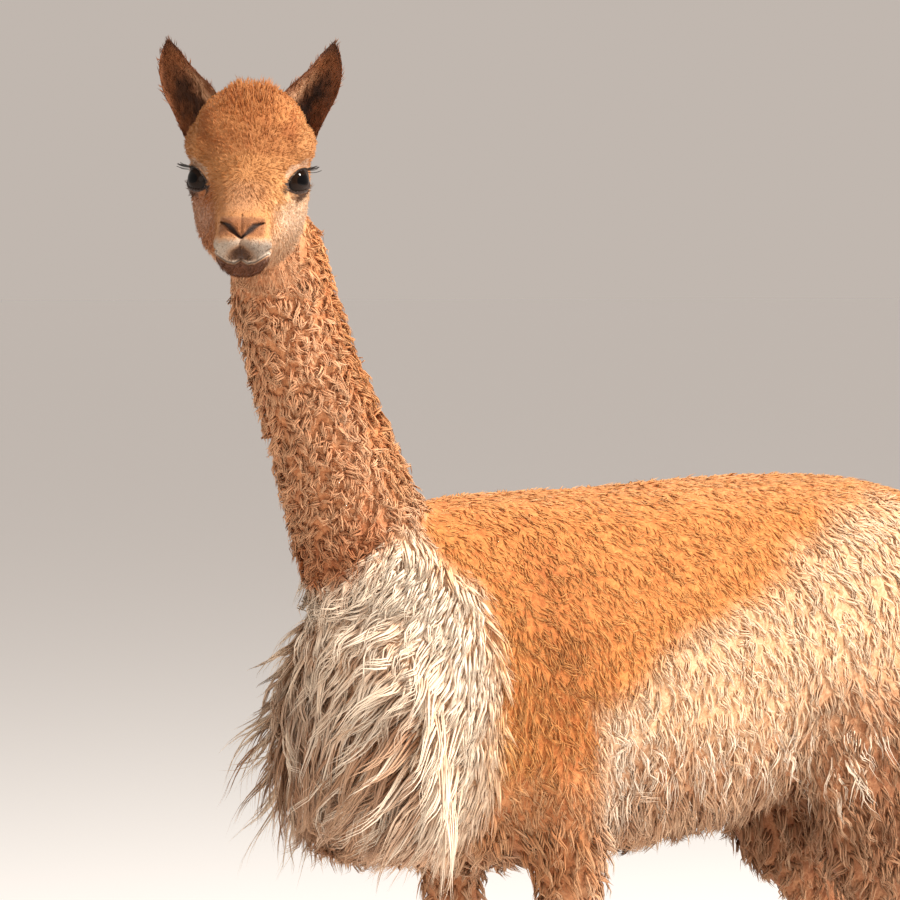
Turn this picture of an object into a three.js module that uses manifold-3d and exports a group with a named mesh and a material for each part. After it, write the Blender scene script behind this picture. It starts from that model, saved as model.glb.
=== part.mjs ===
// A life-size vicuna standing with its body three quarters on and its head turned to its left.
// Millimetres. +Z is up, the chest faces -Y, and +X is the animal's left side.
// Every solid reaches to the tips of the coat. Neighbours are parted by thin cuts.
import * as THREE from "three";
import { mergeVertices } from "three/addons/utils/BufferGeometryUtils.js";
import Module from "manifold-3d";

const wasm = await Module();
wasm.setup();

// Driving dimensions.
const cutGap = 0.4; // width of each thin cut
const withersHeight = 862;
const bellyHeight = 440;
const headTurn = 51.5; // degrees that the face turns to the animal's left
const headPitch = 16; // degrees that the face points below level
const headRoll = 1.4;
const headPlace = [58, -582, 1179]; // midpoint between the eyes
const eyePlace = [43.5, -9, 0]; // the left eye's centre in the head's own frame
const eyeRadius = 18;
const footLength = 78;

const coat = { fawn: 0xc98a4e, cream: 0xe6d2b4, dark: 0x3a2418, horn: 0x2c2622, eye: 0x120d0b };

const leftRight = [
  { side: "left", sign: 1 },
  { side: "right", sign: -1 },
];

// One section of a body: its centre, half width, and reach above and below that centre.
function ring(x, y, z, across, over, under = over) {
  return { centre: new THREE.Vector3(x, y, z), reach: new THREE.Vector3(across, over, under) };
}

// Trunk, from the breast to the buttocks, out to the tips of the fleece.
const trunkRings = [
  ring(0, -447, 616, 34, 60, 60),
  ring(0, -432, 618, 84, 128, 116),
  ring(0, -392, 630, 120, 186, 168),
  ring(0, -330, 640, 140, 212, 192),
  ring(0, -240, 645, 152, withersHeight - 645, 645 - bellyHeight),
  ring(0, -120, 652, 162, 211, 206),
  ring(0, 20, 662, 168, 208, 204),
  ring(0, 150, 680, 164, 192, 188),
  ring(0, 260, 696, 154, 172, 156),
  ring(0, 345, 698, 136, 152, 132),
  ring(0, 408, 690, 104, 124, 108),
  ring(0, 438, 684, 50, 64, 56),
];

// Neck, from inside the trunk to inside the head. "Over" is the throat side.
const neckRings = [
  ring(0, -330, 690, 74, 84, 96),
  ring(0, -368, 752, 76, 84, 92),
  ring(0, -399, 812, 68, 84, 80),
  ring(0, -432, 896, 60, 76, 70),
  ring(0, -468, 980, 55, 69, 62),
  ring(0, -496, 1062, 53, 67, 58),
  ring(2, -514, 1122, 50, 61, 54),
  ring(-2, -521, 1160, 46, 50, 45),
  ring(-12, -544, 1198, 30, 30, 27),
];

// Head, in its own frame: the face looks along -Y and the origin lies between the eyes.
const headRings = [
  ring(0, 98, 4, 18, 26, 28),
  ring(0, 88, 6, 42, 58, 60),
  ring(0, 58, 10, 59, 80, 92),
  ring(0, 28, 12, 64, 80, 110),
  ring(0, 2, 8, 60, 71, 107),
  ring(0, -22, -4, 48, 54, 86),
  ring(0, -48, -20, 38, 42, 60),
  ring(0, -74, -34, 32, 35, 46),
  ring(0, -98, -41, 28.5, 33, 35),
  ring(0, -114, -42, 25, 27, 28),
  ring(0, -122, -41, 14, 16, 15),
  ring(0, -124.5, -41, 4, 5, 5),
];
const headForm = { sides: 16, upright: true, power: [3, 2.2] };
const brow = { place: [39, 24, 30], reach: [28.5, 44, 26] };
const eyeFacing = [0.8, -0.6];
const socketReach = [21, 21, 15.5];

// The ear's edges from its root to its tip, as [x, z] of the outer edge, [x, z] of the inner
// edge, the edges' y, and how deep the hollow between them is.
const earRows = [
  { outer: [60, 12], inner: [18, 58], y: 50, hollow: 10 },
  { outer: [69, 34], inner: [31, 75], y: 52, hollow: 15 },
  { outer: [79, 53], inner: [38, 84], y: 55, hollow: 18 },
  { outer: [90, 75], inner: [48, 92], y: 60, hollow: 16 },
  { outer: [94, 96], inner: [59, 103], y: 64, hollow: 11 },
  { outer: [92, 113], inner: [70, 116], y: 68, hollow: 6 },
  { outer: [86, 126], inner: [81, 127], y: 72, hollow: 1 },
];
const earSpread = { left: -2, right: 4 }; // how much further out than drawn each ear stands
const earThickness = 7;

const tailRings = [
  ring(0, 400, 772, 34, 22, 22),
  ring(0, 442, 742, 40, 24, 24),
  ring(0, 468, 684, 42, 24, 26),
  ring(0, 476, 610, 36, 22, 24),
  ring(0, 472, 552, 22, 15, 16),
  ring(0, 466, 526, 6, 5, 5),
];

// Long white wool that hangs over the breast, as level slices from the throat down.
const bibRings = [
  ring(0, -400, 752, 52, 22, 30),
  ring(0, -404, 724, 100, 34, 50),
  ring(0, -402, 668, 132, 52, 64),
  ring(0, -394, 600, 142, 62, 80),
  ring(0, -376, 540, 136, 66, 94),
  ring(0, -358, 496, 112, 64, 92),
  ring(0, -348, 468, 70, 46, 64),
  ring(0, -346, 452, 20, 16, 20),
];

// One foreleg and one hind leg, for the left side. "Over" is the rear of the leg.
const foreLeg = {
  name: "foreleg",
  rings: [
    ring(84, -240, 690, 44, 66, 60),
    ring(96, -224, 600, 54, 76, 72),
    ring(100, -206, 516, 50, 60, 60),
    ring(94, -197, 440, 42, 47, 46),
    ring(88, -194, 366, 31, 34, 33),
    ring(84, -195, 302, 26, 27, 28),
    ring(82, -192, 250, 18, 20, 19),
    ring(80, -190, 170, 16, 18, 17),
    ring(80, -190, 108, 19, 21, 20),
    ring(80, -194, 84, 21, 22, 23),
    ring(80, -204, 58, 20, 20, 20),
  ],
  partedAt: [300, 96], // knee and fetlock
  lowerNames: ["cannon", "foot"],
  slant: { inner: [10, bellyHeight - 8], outer: [175, 590] },
  outline: [[-420, -60], [-420, 330], [-318, 424], [-286, 520], [-226, 592], [-170, 590],
    [-134, 520], [-116, 424], [-80, 330], [-80, -60]],
};
const hindLeg = {
  name: "hindleg",
  rings: [
    ring(72, 262, 740, 62, 116, 112),
    ring(92, 248, 660, 70, 128, 124),
    ring(106, 230, 580, 64, 112, 112),
    ring(108, 224, 508, 54, 88, 92),
    ring(104, 240, 440, 46, 72, 76),
    ring(95, 274, 380, 34, 52, 54),
    ring(85, 312, 330, 24, 32, 30),
    ring(81, 318, 272, 18, 22, 20),
    ring(80, 314, 180, 16, 18, 17),
    ring(80, 312, 110, 19, 21, 20),
    ring(80, 308, 84, 21, 22, 23),
    ring(80, 298, 58, 20, 20, 20),
  ],
  partedAt: [332, 96], // hock and fetlock
  lowerNames: ["cannon", "foot"],
  slant: { inner: [10, 516], outer: [175, 700] },
  outline: [[90, -60], [90, 360], [112, 440], [136, 520], [176, 610], [240, 690], [330, 700],
    [400, 640], [436, 540], [480, 400], [540, 300], [540, -60]],
};

// How far each foot stands ahead of (-) or behind (+) its leg's own place.
const stance = {
  foreleg: { left: 2, right: -32 },
  hindleg: { left: -16, right: 92 },
};

// Solids

// A closed three.js geometry as a solid that can be cut and joined.
function solidOf(geometry) {
  const bare = geometry.clone();
  bare.deleteAttribute("normal");
  bare.deleteAttribute("uv");
  const merged = mergeVertices(bare, 1e-4);
  const vertProperties = merged.attributes.position.array;
  const triVerts = new Uint32Array(merged.index.array);
  const made = new wasm.Manifold(new wasm.Mesh({ numProp: 3, vertProperties, triVerts }));
  if (made.volume() > 0) return made;
  for (let i = 0; i < triVerts.length; i += 3) {
    [triVerts[i], triVerts[i + 1]] = [triVerts[i + 1], triVerts[i]];
  }
  return new wasm.Manifold(new wasm.Mesh({ numProp: 3, vertProperties, triVerts }));
}

function geometryOf(solid) {
  const { numProp, vertProperties, triVerts } = solid.getMesh();
  const count = vertProperties.length / numProp;
  const places = new Float32Array(count * 3);
  for (let i = 0; i < count; i++) {
    places.set(vertProperties.subarray(i * numProp, i * numProp + 3), i * 3);
  }
  const geometry = new THREE.BufferGeometry();
  geometry.setAttribute("position", new THREE.BufferAttribute(places, 3));
  geometry.setIndex(new THREE.BufferAttribute(new Uint32Array(triVerts), 1));
  geometry.computeVertexNormals();
  return geometry;
}

const joined = (solids) => solids.reduce((sum, solid) => sum.add(solid));
const largest = (solid) => solid.decompose().sort((a, b) => b.volume() - a.volume())[0];

// A row of closed outlines, each a list of points, as one solid with a fan at each end.
function skinned(outlines) {
  const sides = outlines[0].length;
  const places = outlines.flat();
  const middle = (points) => points.reduce((sum, p) => sum.add(p), new THREE.Vector3()).divideScalar(sides);
  const ends = [middle(outlines[0]), middle(outlines.at(-1))];
  const faces = [];
  for (let row = 0; row < outlines.length - 1; row++) {
    for (let i = 0; i < sides; i++) {
      const a = row * sides + i;
      const b = row * sides + ((i + 1) % sides);
      faces.push(a, b, b + sides, a, b + sides, a + sides);
    }
  }
  const lastRow = (outlines.length - 1) * sides;
  for (let i = 0; i < sides; i++) {
    const next = (i + 1) % sides;
    faces.push(places.length, next, i, places.length + 1, lastRow + i, lastRow + next);
  }
  const geometry = new THREE.BufferGeometry().setFromPoints([...places, ...ends]);
  geometry.setIndex(faces);
  return solidOf(geometry);
}

// A body through a row of rings, with a smooth curve through the places and reaches of the rings.
// "upright" keeps each section in a plane across Y; otherwise it stands square to the run.
// A "power" above 2, from the first ring to the last, makes sections fuller than an ellipse.
function body(rings, { sides = 20, spans = 2, upright = false, grow = 0, power = [2, 2] } = {}) {
  const run = new THREE.CatmullRomCurve3(rings.map((r) => r.centre), false, "catmullrom", 0.5);
  const size = new THREE.CatmullRomCurve3(rings.map((r) => r.reach), false, "catmullrom", 0.5);
  const steps = (rings.length - 1) * spans;
  const outlines = [];
  for (let step = 0; step <= steps; step++) {
    const centre = run.getPoint(step / steps);
    const reach = size.getPoint(step / steps).addScalar(grow);
    const along = upright ? new THREE.Vector3(0, 1, 0) : run.getTangent(step / steps);
    const up = new THREE.Vector3(1, 0, 0).cross(along).normalize();
    const across = along.clone().cross(up);
    const full = 2 / THREE.MathUtils.lerp(...power, step / steps);
    const fuller = (value) => Math.sign(value) * Math.abs(value) ** full;
    const outline = [];
    for (let i = 0; i < sides; i++) {
      const angle = (i / sides) * 2 * Math.PI;
      const rise = fuller(Math.sin(angle));
      outline.push(
        centre.clone()
          .addScaledVector(across, reach.x * fuller(Math.cos(angle)))
          .addScaledVector(up, (rise > 0 ? reach.y : reach.z) * rise),
      );
    }
    outlines.push(outline);
  }
  return skinned(outlines);
}

// A long block that starts at a plane through "point" and fills the side that "normal" points to.
function block(point, normal, width = 3000, depth = 3000) {
  const geometry = new THREE.BoxGeometry(width, width, depth).translate(0, 0, depth / 2);
  const turn = new THREE.Quaternion().setFromUnitVectors(
    new THREE.Vector3(0, 0, 1),
    new THREE.Vector3(...normal).normalize(),
  );
  return solidOf(geometry.applyQuaternion(turn).translate(...point));
}

function boxBetween(low, high) {
  const size = high.map((value, i) => value - low[i]);
  const centre = high.map((value, i) => (value + low[i]) / 2);
  return solidOf(new THREE.BoxGeometry(...size).translate(...centre));
}

// Parts a whole at a region: "region" is called with a margin to grow it by.
function part(whole, region) {
  return {
    piece: largest(whole.intersect(region(0))),
    rest: largest(whole.subtract(region(cutGap))),
  };
}

const planeRegion = (point, normal) => (margin) => {
  const n = new THREE.Vector3(...normal).normalize();
  return block(new THREE.Vector3(...point).addScaledVector(n, -margin).toArray(), n.toArray());
};

const mirrored = (rings) => rings.map(({ centre, reach }) => ({
  centre: centre.clone().multiply(new THREE.Vector3(-1, 1, 1)),
  reach,
}));

// Legs and feet

const soleHalfWidth = 12.5;

// A foot with two toes, standing on flat pads at z = 0 under the point (x, y).
function footAt(x, y, grow = 0) {
  const toes = [-1, 1].map((toe) => {
    const apart = toe * 13.5;
    return body([
      ring(x + toe * 5, y + 8, 66, 13, 14, 14),
      ring(x + apart * 0.9, y + 2, 36, 14, 19, 19),
      ring(x + apart, y - 16, 17, soleHalfWidth + 1, 22, 22),
      ring(x + apart * 1.05, y - 42, 11, soleHalfWidth, 16, 16),
      ring(x + apart, y - footLength * 0.84, 8, 6, 7, 7),
    ], { sides: 8, spans: 1, grow });
  });
  return joined(toes).subtract(block([0, 0, 0], [0, 0, -1]));
}

// One nail, a narrow curved hoof over the tip of a toe.
function nailAt(x, y, toe) {
  const centre = x + toe * 14;
  const nail = body([
    ring(centre, y - footLength * 0.6, 23, 7, 4, 4),
    ring(centre, y - footLength * 0.78, 19, 8.4, 6, 8),
    ring(centre, y - footLength * 0.92, 12, 6.8, 7, 7),
    ring(centre - toe, y - footLength, 5, 2.6, 3, 2.6),
  ], { sides: 6, spans: 1 });
  return nail.subtract(block([0, 0, 0.8], [0, 0, -1]));
}

// A leg's rings on one side, with the foot moved to its place in the stance.
function stancedRings(leg, side, sign) {
  const hip = leg.rings[0].centre.z;
  const moved = leg.rings.map(({ centre, reach }) => {
    const share = Math.min(1, (hip - centre.z) / (hip - 90));
    const y = centre.y + stance[leg.name][side] * share;
    return { centre: new THREE.Vector3(centre.x, y, centre.z), reach };
  });
  return sign > 0 ? moved : mirrored(moved);
}

function footPlace(leg, side, sign) {
  const { centre } = stancedRings(leg, side, sign).at(-1);
  return [centre.x, centre.y + 2];
}

// An outline with each side moved outward by a margin.
function widened(outline, margin) {
  const points = outline.map(([y, z]) => new THREE.Vector2(y, z));
  const outward = points.map((point, i) => {
    const side = points[(i + 1) % points.length].clone().sub(point).normalize();
    return new THREE.Vector2(-side.y, side.x);
  });
  return points.map((point, i) => {
    const [a, b] = [outward.at(i - 1), outward[i]];
    return point.clone().addScaledVector(a.clone().add(b), margin / (1 + a.dot(b)));
  });
}

// The space that belongs to one leg: the outline seen from the side, outside a slanted plane.
function legRegion(leg, sign) {
  const { inner, outer } = leg.slant;
  const slope = [(outer[1] - inner[1]) * sign, 0, inner[0] - outer[0]];
  const toSide = new THREE.Matrix4().makeBasis(
    new THREE.Vector3(0, 1, 0),
    new THREE.Vector3(0, 0, 1),
    new THREE.Vector3(1, 0, 0),
  );
  return (margin) => {
    const shape = new THREE.Shape(widened(leg.outline, margin));
    const wall = new THREE.ExtrudeGeometry(shape, { depth: 400, bevelEnabled: false, steps: 1 });
    const clear = 3 - margin;
    wall.translate(0, 0, sign > 0 ? clear : -400 - clear).applyMatrix4(toSide);
    return solidOf(wall).intersect(planeRegion([inner[0] * sign, 0, inner[1]], slope)(margin));
  };
}

// Head, ears and eyes, all in the head's own frame

const headFrame = new THREE.Matrix4().compose(
  new THREE.Vector3(...headPlace),
  new THREE.Quaternion().setFromEuler(new THREE.Euler(
    THREE.MathUtils.degToRad(headPitch),
    THREE.MathUtils.degToRad(headRoll),
    THREE.MathUtils.degToRad(headTurn),
    "ZXY",
  )),
  new THREE.Vector3(1, 1, 1),
);

// An ear as a pointed leaf, hollowed at the front.
function ear(side, sign) {
  const along = (points) => new THREE.CatmullRomCurve3(points, false, "catmullrom", 0.5);
  const at = ([x, z], y) => new THREE.Vector3(sign * (x + earSpread[side]), y, z);
  const outer = along(earRows.map((row) => at(row.outer, row.y)));
  const inner = along(earRows.map((row) => at(row.inner, row.y)));
  const depth = along(earRows.map(({ hollow }) => new THREE.Vector3(0, hollow, 0)));
  const rows = (earRows.length - 1) * 2;
  const columns = 5;
  const outlines = [];
  for (let row = 0; row <= rows; row++) {
    const v = row / rows;
    const edge = (share, back, wall) => {
      const point = outer.getPoint(v).lerp(inner.getPoint(v), share);
      const bow = 4 * share * (1 - share);
      point.y += depth.getPoint(v).y * bow * back + wall * (0.3 + 0.7 * bow) * (1 - 0.5 * v);
      return point;
    };
    const front = Array.from({ length: columns + 1 }, (_, i) => edge(i / columns, 1, 0));
    const rear = Array.from({ length: columns + 1 }, (_, i) => edge(1 - i / columns, 1.1, earThickness));
    outlines.push([...front, ...rear]);
  }
  return skinned(outlines);
}

function ball([x, y, z], reach, sign) {
  const geometry = new THREE.SphereGeometry(1, 12, 8);
  return solidOf(geometry.scale(...reach).translate(sign * x, y, z));
}

const eye = (sign, grow = 0) => ball(eyePlace, Array(3).fill(eyeRadius + grow), sign);

// The hollow in which an eye is set, open to the front and the side.
function socket(sign) {
  const [x, y, z] = eyePlace;
  const outward = eyeRadius * 0.62;
  return ball([x + eyeFacing[0] * outward, y + eyeFacing[1] * outward, z], socketReach, sign);
}

function skullOf(grow = 0) {
  const browReach = brow.reach.map((value) => value + grow);
  const brows = leftRight.map(({ sign }) => ball(brow.place, browReach, sign));
  return joined([body(headRings, { ...headForm, grow }), ...brows]);
}

// Building

const group = new THREE.Group();
const headGroup = new THREE.Group();
headGroup.applyMatrix4(headFrame);
group.add(headGroup);

function add(name, solid, colour, roughness = 0.95, parent = group) {
  const material = new THREE.MeshStandardMaterial({ color: colour, roughness, metalness: 0 });
  const mesh = new THREE.Mesh(geometryOf(largest(solid)), material);
  mesh.name = name;
  parent.add(mesh);
}

const legs = [foreLeg, hindLeg].flatMap((leg) => leftRight.map(({ side, sign }) => ({ leg, side, sign })));
const bodyAt = (grow) => joined([
  body(trunkRings, { sides: 20, upright: true, grow }),
  body(neckRings, { sides: 14, grow }),
  ...legs.map(({ leg, side, sign }) => body(stancedRings(leg, side, sign), { sides: 12, spans: 1, grow })),
]);
const upperBody = bodyAt(0);
const grownBody = bodyAt(cutGap);

// The head and the neck are joined, then parted in a plane behind the jaw and the ears.
const toHead = headFrame.clone().invert();
const moved = (solid, matrix) => solidOf(geometryOf(solid).applyMatrix4(matrix));
const skull = skullOf();
const parting = { point: [0, 30, -88], normal: [0, -0.766, 0.645] };
let head = skull.add(moved(body(neckRings, { sides: 14 }), toHead))
  .intersect(planeRegion(parting.point, parting.normal)(0));
const partingPoint = new THREE.Vector3(...parting.point).applyMatrix4(headFrame).toArray();
const partingNormal = new THREE.Vector3(...parting.normal).transformDirection(headFrame).toArray();
let rest = upperBody.add(moved(skull, headFrame)).subtract(planeRegion(partingPoint, partingNormal)(cutGap));

leftRight.forEach(({ side, sign }) => {
  add(`eye_${side}`, eye(sign), coat.eye, 0.1, headGroup);
  add(`ear_${side}`, ear(side, sign).subtract(skullOf(cutGap)), coat.dark, 0.9, headGroup);
  head = head.subtract(socket(sign)).subtract(eye(sign, cutGap));
});

// The lower jaw parts from the head along the line of the lips.
const jawRegion = (margin) => block([0, -115, -52 + margin], [0, 0.1, -1])
  .intersect(boxBetween([-90, -200, -200], [90, 6 + margin, 0]));
const jaw = part(head, jawRegion);
add("head", jaw.rest, coat.fawn, 0.95, headGroup);
add("lower_jaw", jaw.piece, coat.cream, 0.95, headGroup);

// The neck parts from the trunk in a slanted plane from the withers to the breast.
const neckCut = part(rest, planeRegion([0, -312, 862], [0, -180, 128]));
add("neck", neckCut.piece, coat.fawn);
rest = neckCut.rest;

for (const { leg, side, sign } of legs) {
  const cut = part(rest, legRegion(leg, sign));
  rest = cut.rest;
  let lower = cut.piece;
  let partName = "upper";
  leg.partedAt.forEach((height, i) => {
    const level = part(lower, planeRegion([0, 0, height], [0, 0, -1]));
    add(`${leg.name}_${side}_${partName}`, level.rest, coat.fawn);
    lower = level.piece;
    partName = leg.lowerNames[i];
  });
  const [x, y] = footPlace(leg, side, sign);
  const pastern = planeRegion([0, 0, leg.partedAt[1]], [0, 0, -1])(0);
  add(`${leg.name}_${side}_foot`, footAt(x, y).intersect(pastern).add(lower), coat.fawn);
  [-1, 1].forEach((toe) => {
    const nailName = toe * sign > 0 ? "outer" : "inner";
    const nail = nailAt(x, y, toe).subtract(footAt(x, y, cutGap));
    add(`nail_${leg.name}_${side}_${nailName}`, nail, coat.horn, 0.5);
  });
}
add("trunk", rest, coat.fawn);
add("tail", body(tailRings, { sides: 10, spans: 1 }).subtract(grownBody), coat.fawn);
add("bib", body(bibRings, { sides: 14, spans: 1 }).subtract(grownBody), coat.cream);

// The origin lies on the floor, under the middle of the whole animal.
const bounds = new THREE.Box3().setFromObject(group, true);
group.children.forEach((child) => {
  child.position.x -= (bounds.min.x + bounds.max.x) / 2;
  child.position.y -= (bounds.min.y + bounds.max.y) / 2;
  child.position.z -= bounds.min.z;
});

export default group;
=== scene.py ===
import math

import bmesh
import bpy
import numpy as np
from mathutils import Matrix, Vector
from mathutils.bvhtree import BVHTree


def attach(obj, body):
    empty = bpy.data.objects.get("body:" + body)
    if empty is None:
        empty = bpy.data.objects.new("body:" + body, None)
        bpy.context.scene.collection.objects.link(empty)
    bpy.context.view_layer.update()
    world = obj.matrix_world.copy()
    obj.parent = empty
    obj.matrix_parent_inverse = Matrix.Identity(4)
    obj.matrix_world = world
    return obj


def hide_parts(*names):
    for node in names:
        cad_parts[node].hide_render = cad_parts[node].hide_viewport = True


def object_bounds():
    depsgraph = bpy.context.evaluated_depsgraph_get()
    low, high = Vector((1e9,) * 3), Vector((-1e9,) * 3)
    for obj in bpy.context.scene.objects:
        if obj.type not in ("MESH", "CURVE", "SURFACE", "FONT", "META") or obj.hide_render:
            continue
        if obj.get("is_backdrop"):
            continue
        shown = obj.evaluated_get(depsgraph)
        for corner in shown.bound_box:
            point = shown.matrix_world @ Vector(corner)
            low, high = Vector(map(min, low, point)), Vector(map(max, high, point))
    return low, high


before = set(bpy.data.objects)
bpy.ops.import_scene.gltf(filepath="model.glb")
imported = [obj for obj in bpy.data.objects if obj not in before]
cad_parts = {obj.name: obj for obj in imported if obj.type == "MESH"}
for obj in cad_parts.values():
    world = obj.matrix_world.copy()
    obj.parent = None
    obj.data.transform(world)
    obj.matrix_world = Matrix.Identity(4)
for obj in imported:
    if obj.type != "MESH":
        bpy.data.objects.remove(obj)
cadLow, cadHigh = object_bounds()
print("frame loaded:", len(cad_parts), "nodes")

mm = 0.001

# The head's own frame: the face looks along its -Y, and sizes on the head are in millimetres.
headSet = {"turn": 51.5, "pitch": 16.0, "roll": 1.4, "at": (0.058, -0.49845, 1.179)}
headMatrix = np.array(
    Matrix.Translation(headSet["at"])
    @ Matrix.Rotation(math.radians(headSet["turn"]), 4, "Z")
    @ Matrix.Rotation(math.radians(headSet["pitch"]), 4, "X")
    @ Matrix.Rotation(math.radians(headSet["roll"]), 4, "Y")
)
fleshNodes = [n for n in sorted(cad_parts) if not n.startswith(("eye", "nail"))]


# Small tools

def smooth(low, high, x):
    t = np.clip((x - low) / (high - low), 0, 1)
    return t * t * (3 - 2 * t)


def mixed(a, b, t):
    return a + (b - a) * t


def bell(value, middle, reach, power=2):
    # 1 at the middle, falling to nothing on both sides of it.
    return np.exp(-((value - middle) / reach) ** power)


def unit(v):
    return v / np.maximum(np.linalg.norm(v, axis=-1, keepdims=True), 1e-9)


def fromHead(points):
    # From the head's millimetres to the model's metres.
    return points * mm @ headMatrix[:3, :3].T + headMatrix[:3, 3]


def toHead(points):
    return (points - headMatrix[:3, 3]) @ headMatrix[:3, :3] / mm


def hashed(cells, seed):
    # A repeatable random number from 0 to 1 for each whole-number cell.
    c = cells.astype(np.int64)
    h = c[..., 0] * 73856093 ^ c[..., 1] * 19349663 ^ c[..., 2] * 83492791 ^ seed * 2654435761
    h = (h ^ (h >> 13)) * 1274126177 & 0xFFFFFFFF
    return ((h ^ (h >> 16)) & 0xFFFFFF) / 0xFFFFFF


def softNoise(points, size, seed):
    # Value noise from -1 to 1, for markings and lumps.
    p = points / size
    base = np.floor(p)
    f = p - base
    f = f * f * (3 - 2 * f)
    total = np.zeros(len(points))
    for corner in np.ndindex(2, 2, 2):
        weight = np.prod(np.where(np.array(corner), f, 1 - f), axis=1)
        total += weight * hashed(base + np.array(corner), seed)
    return total * 2 - 1


def catmullRom(rows, steps):
    rows = np.asarray(rows, float)
    padded = np.vstack([2 * rows[0] - rows[1], rows, 2 * rows[-1] - rows[-2]])
    at = np.linspace(0, len(rows) - 1, (len(rows) - 1) * steps + 1)
    i = np.minimum(at.astype(int), len(rows) - 2)
    t = (at - i)[:, None]
    a, b, c, d = padded[i], padded[i + 1], padded[i + 2], padded[i + 3]
    return 0.5 * (2 * b + (c - a) * t + (2 * a - 5 * b + 4 * c - d) * t**2 + (3 * b - a - 3 * c + d) * t**3)


def meshPiece(name, verts, quads=None, tris=None, shade=True):
    me = bpy.data.meshes.new(name)
    quads = np.zeros((0, 4), int) if quads is None else np.asarray(quads)
    tris = np.zeros((0, 3), int) if tris is None else np.asarray(tris)
    corners = np.concatenate([quads.ravel(), tris.ravel()]).astype(np.int32)
    starts = np.concatenate([np.arange(len(quads)) * 4, len(quads) * 4 + np.arange(len(tris)) * 3])
    me.vertices.add(len(verts))
    me.vertices.foreach_set("co", np.asarray(verts, np.float32).ravel())
    me.loops.add(len(corners))
    me.loops.foreach_set("vertex_index", corners)
    me.polygons.add(len(starts))
    me.polygons.foreach_set("loop_start", starts.astype(np.int32))
    me.update(calc_edges=True)
    me.polygons.foreach_set("use_smooth", np.full(len(starts), shade))
    piece = bpy.data.objects.new(name, me)
    bpy.context.scene.collection.objects.link(piece)
    return piece


def meshArrays(me):
    # The vertices and triangles of a mesh.
    verts = np.zeros(len(me.vertices) * 3, np.float32)
    me.vertices.foreach_get("co", verts)
    me.calc_loop_triangles()
    tris = np.zeros(len(me.loop_triangles) * 3, np.int32)
    me.loop_triangles.foreach_get("vertices", tris)
    return verts.reshape(-1, 3).astype(float), tris.reshape(-1, 3)


def welded(verts, tris, step=2e-5):
    # Joins points that lie in one small cell, and drops triangles that collapse.
    cells = np.round(verts / step).astype(np.int64)
    _, first, back = np.unique(cells, axis=0, return_index=True, return_inverse=True)
    tris = back.ravel()[tris]
    whole = (tris[:, 0] != tris[:, 1]) & (tris[:, 1] != tris[:, 2]) & (tris[:, 2] != tris[:, 0])
    return verts[first], tris[whole]


def pointNormals(verts, tris):
    face = np.cross(verts[tris[:, 1]] - verts[tris[:, 0]], verts[tris[:, 2]] - verts[tris[:, 0]])
    total = np.zeros_like(verts)
    for i in range(3):
        np.add.at(total, tris[:, i], face)
    return unit(total)


def remeshed(verts, tris, voxel):
    # One closed shell round everything that overlaps, as quads.
    piece = meshPiece("shellDraft", verts, tris=tris)
    made = piece.modifiers.new("shell", "REMESH")
    made.mode = "VOXEL"
    made.voxel_size = voxel
    made.adaptivity = 0
    me = bpy.data.meshes.new_from_object(piece.evaluated_get(bpy.context.evaluated_depsgraph_get()))
    bpy.data.objects.remove(piece)
    corners = np.zeros(len(me.loops), np.int32)
    me.loops.foreach_get("vertex_index", corners)
    found, _ = meshArrays(me)
    bpy.data.meshes.remove(me)
    return found, corners.reshape(-1, 4)


def relaxed(verts, edges, rounds, share=0.5, hold=None, full=True):
    # Evens out a mesh or its values. "full" pushes back after each round, so that nothing shrinks.
    pushBack = 1.04
    count = np.bincount(edges.ravel(), minlength=len(verts)).clip(1)[:, None]
    free = 1 if hold is None else (1 - hold)[:, None]
    verts = verts.copy()
    for number in range(rounds * (2 if full else 1)):
        near = np.stack([
            np.bincount(edges[:, 0], verts[edges[:, 1], k], len(verts))
            + np.bincount(edges[:, 1], verts[edges[:, 0], k], len(verts)) for k in range(verts.shape[1])], 1)
        step = -share * pushBack if full and number % 2 else share
        verts += (near / count - verts) * step * free
    return verts


def edgesOf(faces):
    pairs = np.stack([faces, np.roll(faces, -1, axis=1)], -1).reshape(-1, 2)
    return np.unique(np.sort(pairs, 1), axis=0)


def halves(quads):
    return np.concatenate([quads[:, [0, 1, 2]], quads[:, [0, 2, 3]]])


def tubeFaces(rows, sides):
    # Quads between closed rings, and a fan at each end.
    ring = np.arange(rows * sides).reshape(rows, sides)
    after = np.roll(ring, -1, axis=1)
    quads = np.stack([ring[:-1], after[:-1], after[1:], ring[1:]], -1).reshape(-1, 4)
    low = np.stack([np.full(sides, rows * sides), after[0], ring[0]], 1)
    high = np.stack([np.full(sides, rows * sides + 1), ring[-1], after[-1]], 1)
    return quads, np.concatenate([low, high])


def volumeOf(verts, tris):
    # Six times the volume in a closed mesh, and less than 0 where it faces inwards.
    a, b, c = verts[tris].transpose(1, 0, 2)
    return np.einsum("ij,ij->", a, np.cross(b, c))


def facingOut(verts, tris):
    return tris[:, ::-1] if volumeOf(verts, tris) < 0 else tris


def closedTube(rings):
    # rings: rows x sides x 3, closed with a middle point at each end.
    rows, sides = rings.shape[:2]
    verts = np.concatenate([rings.reshape(-1, 3), rings[0].mean(0)[None], rings[-1].mean(0)[None]])
    quads, tris = tubeFaces(rows, sides)
    return verts, facingOut(verts, np.concatenate([halves(quads), tris]))


def combined(parts):
    verts, tris, count = [], [], 0
    for v, t in parts:
        verts.append(v)
        tris.append(t + count)
        count += len(v)
    return np.concatenate(verts), np.concatenate(tris)


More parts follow.
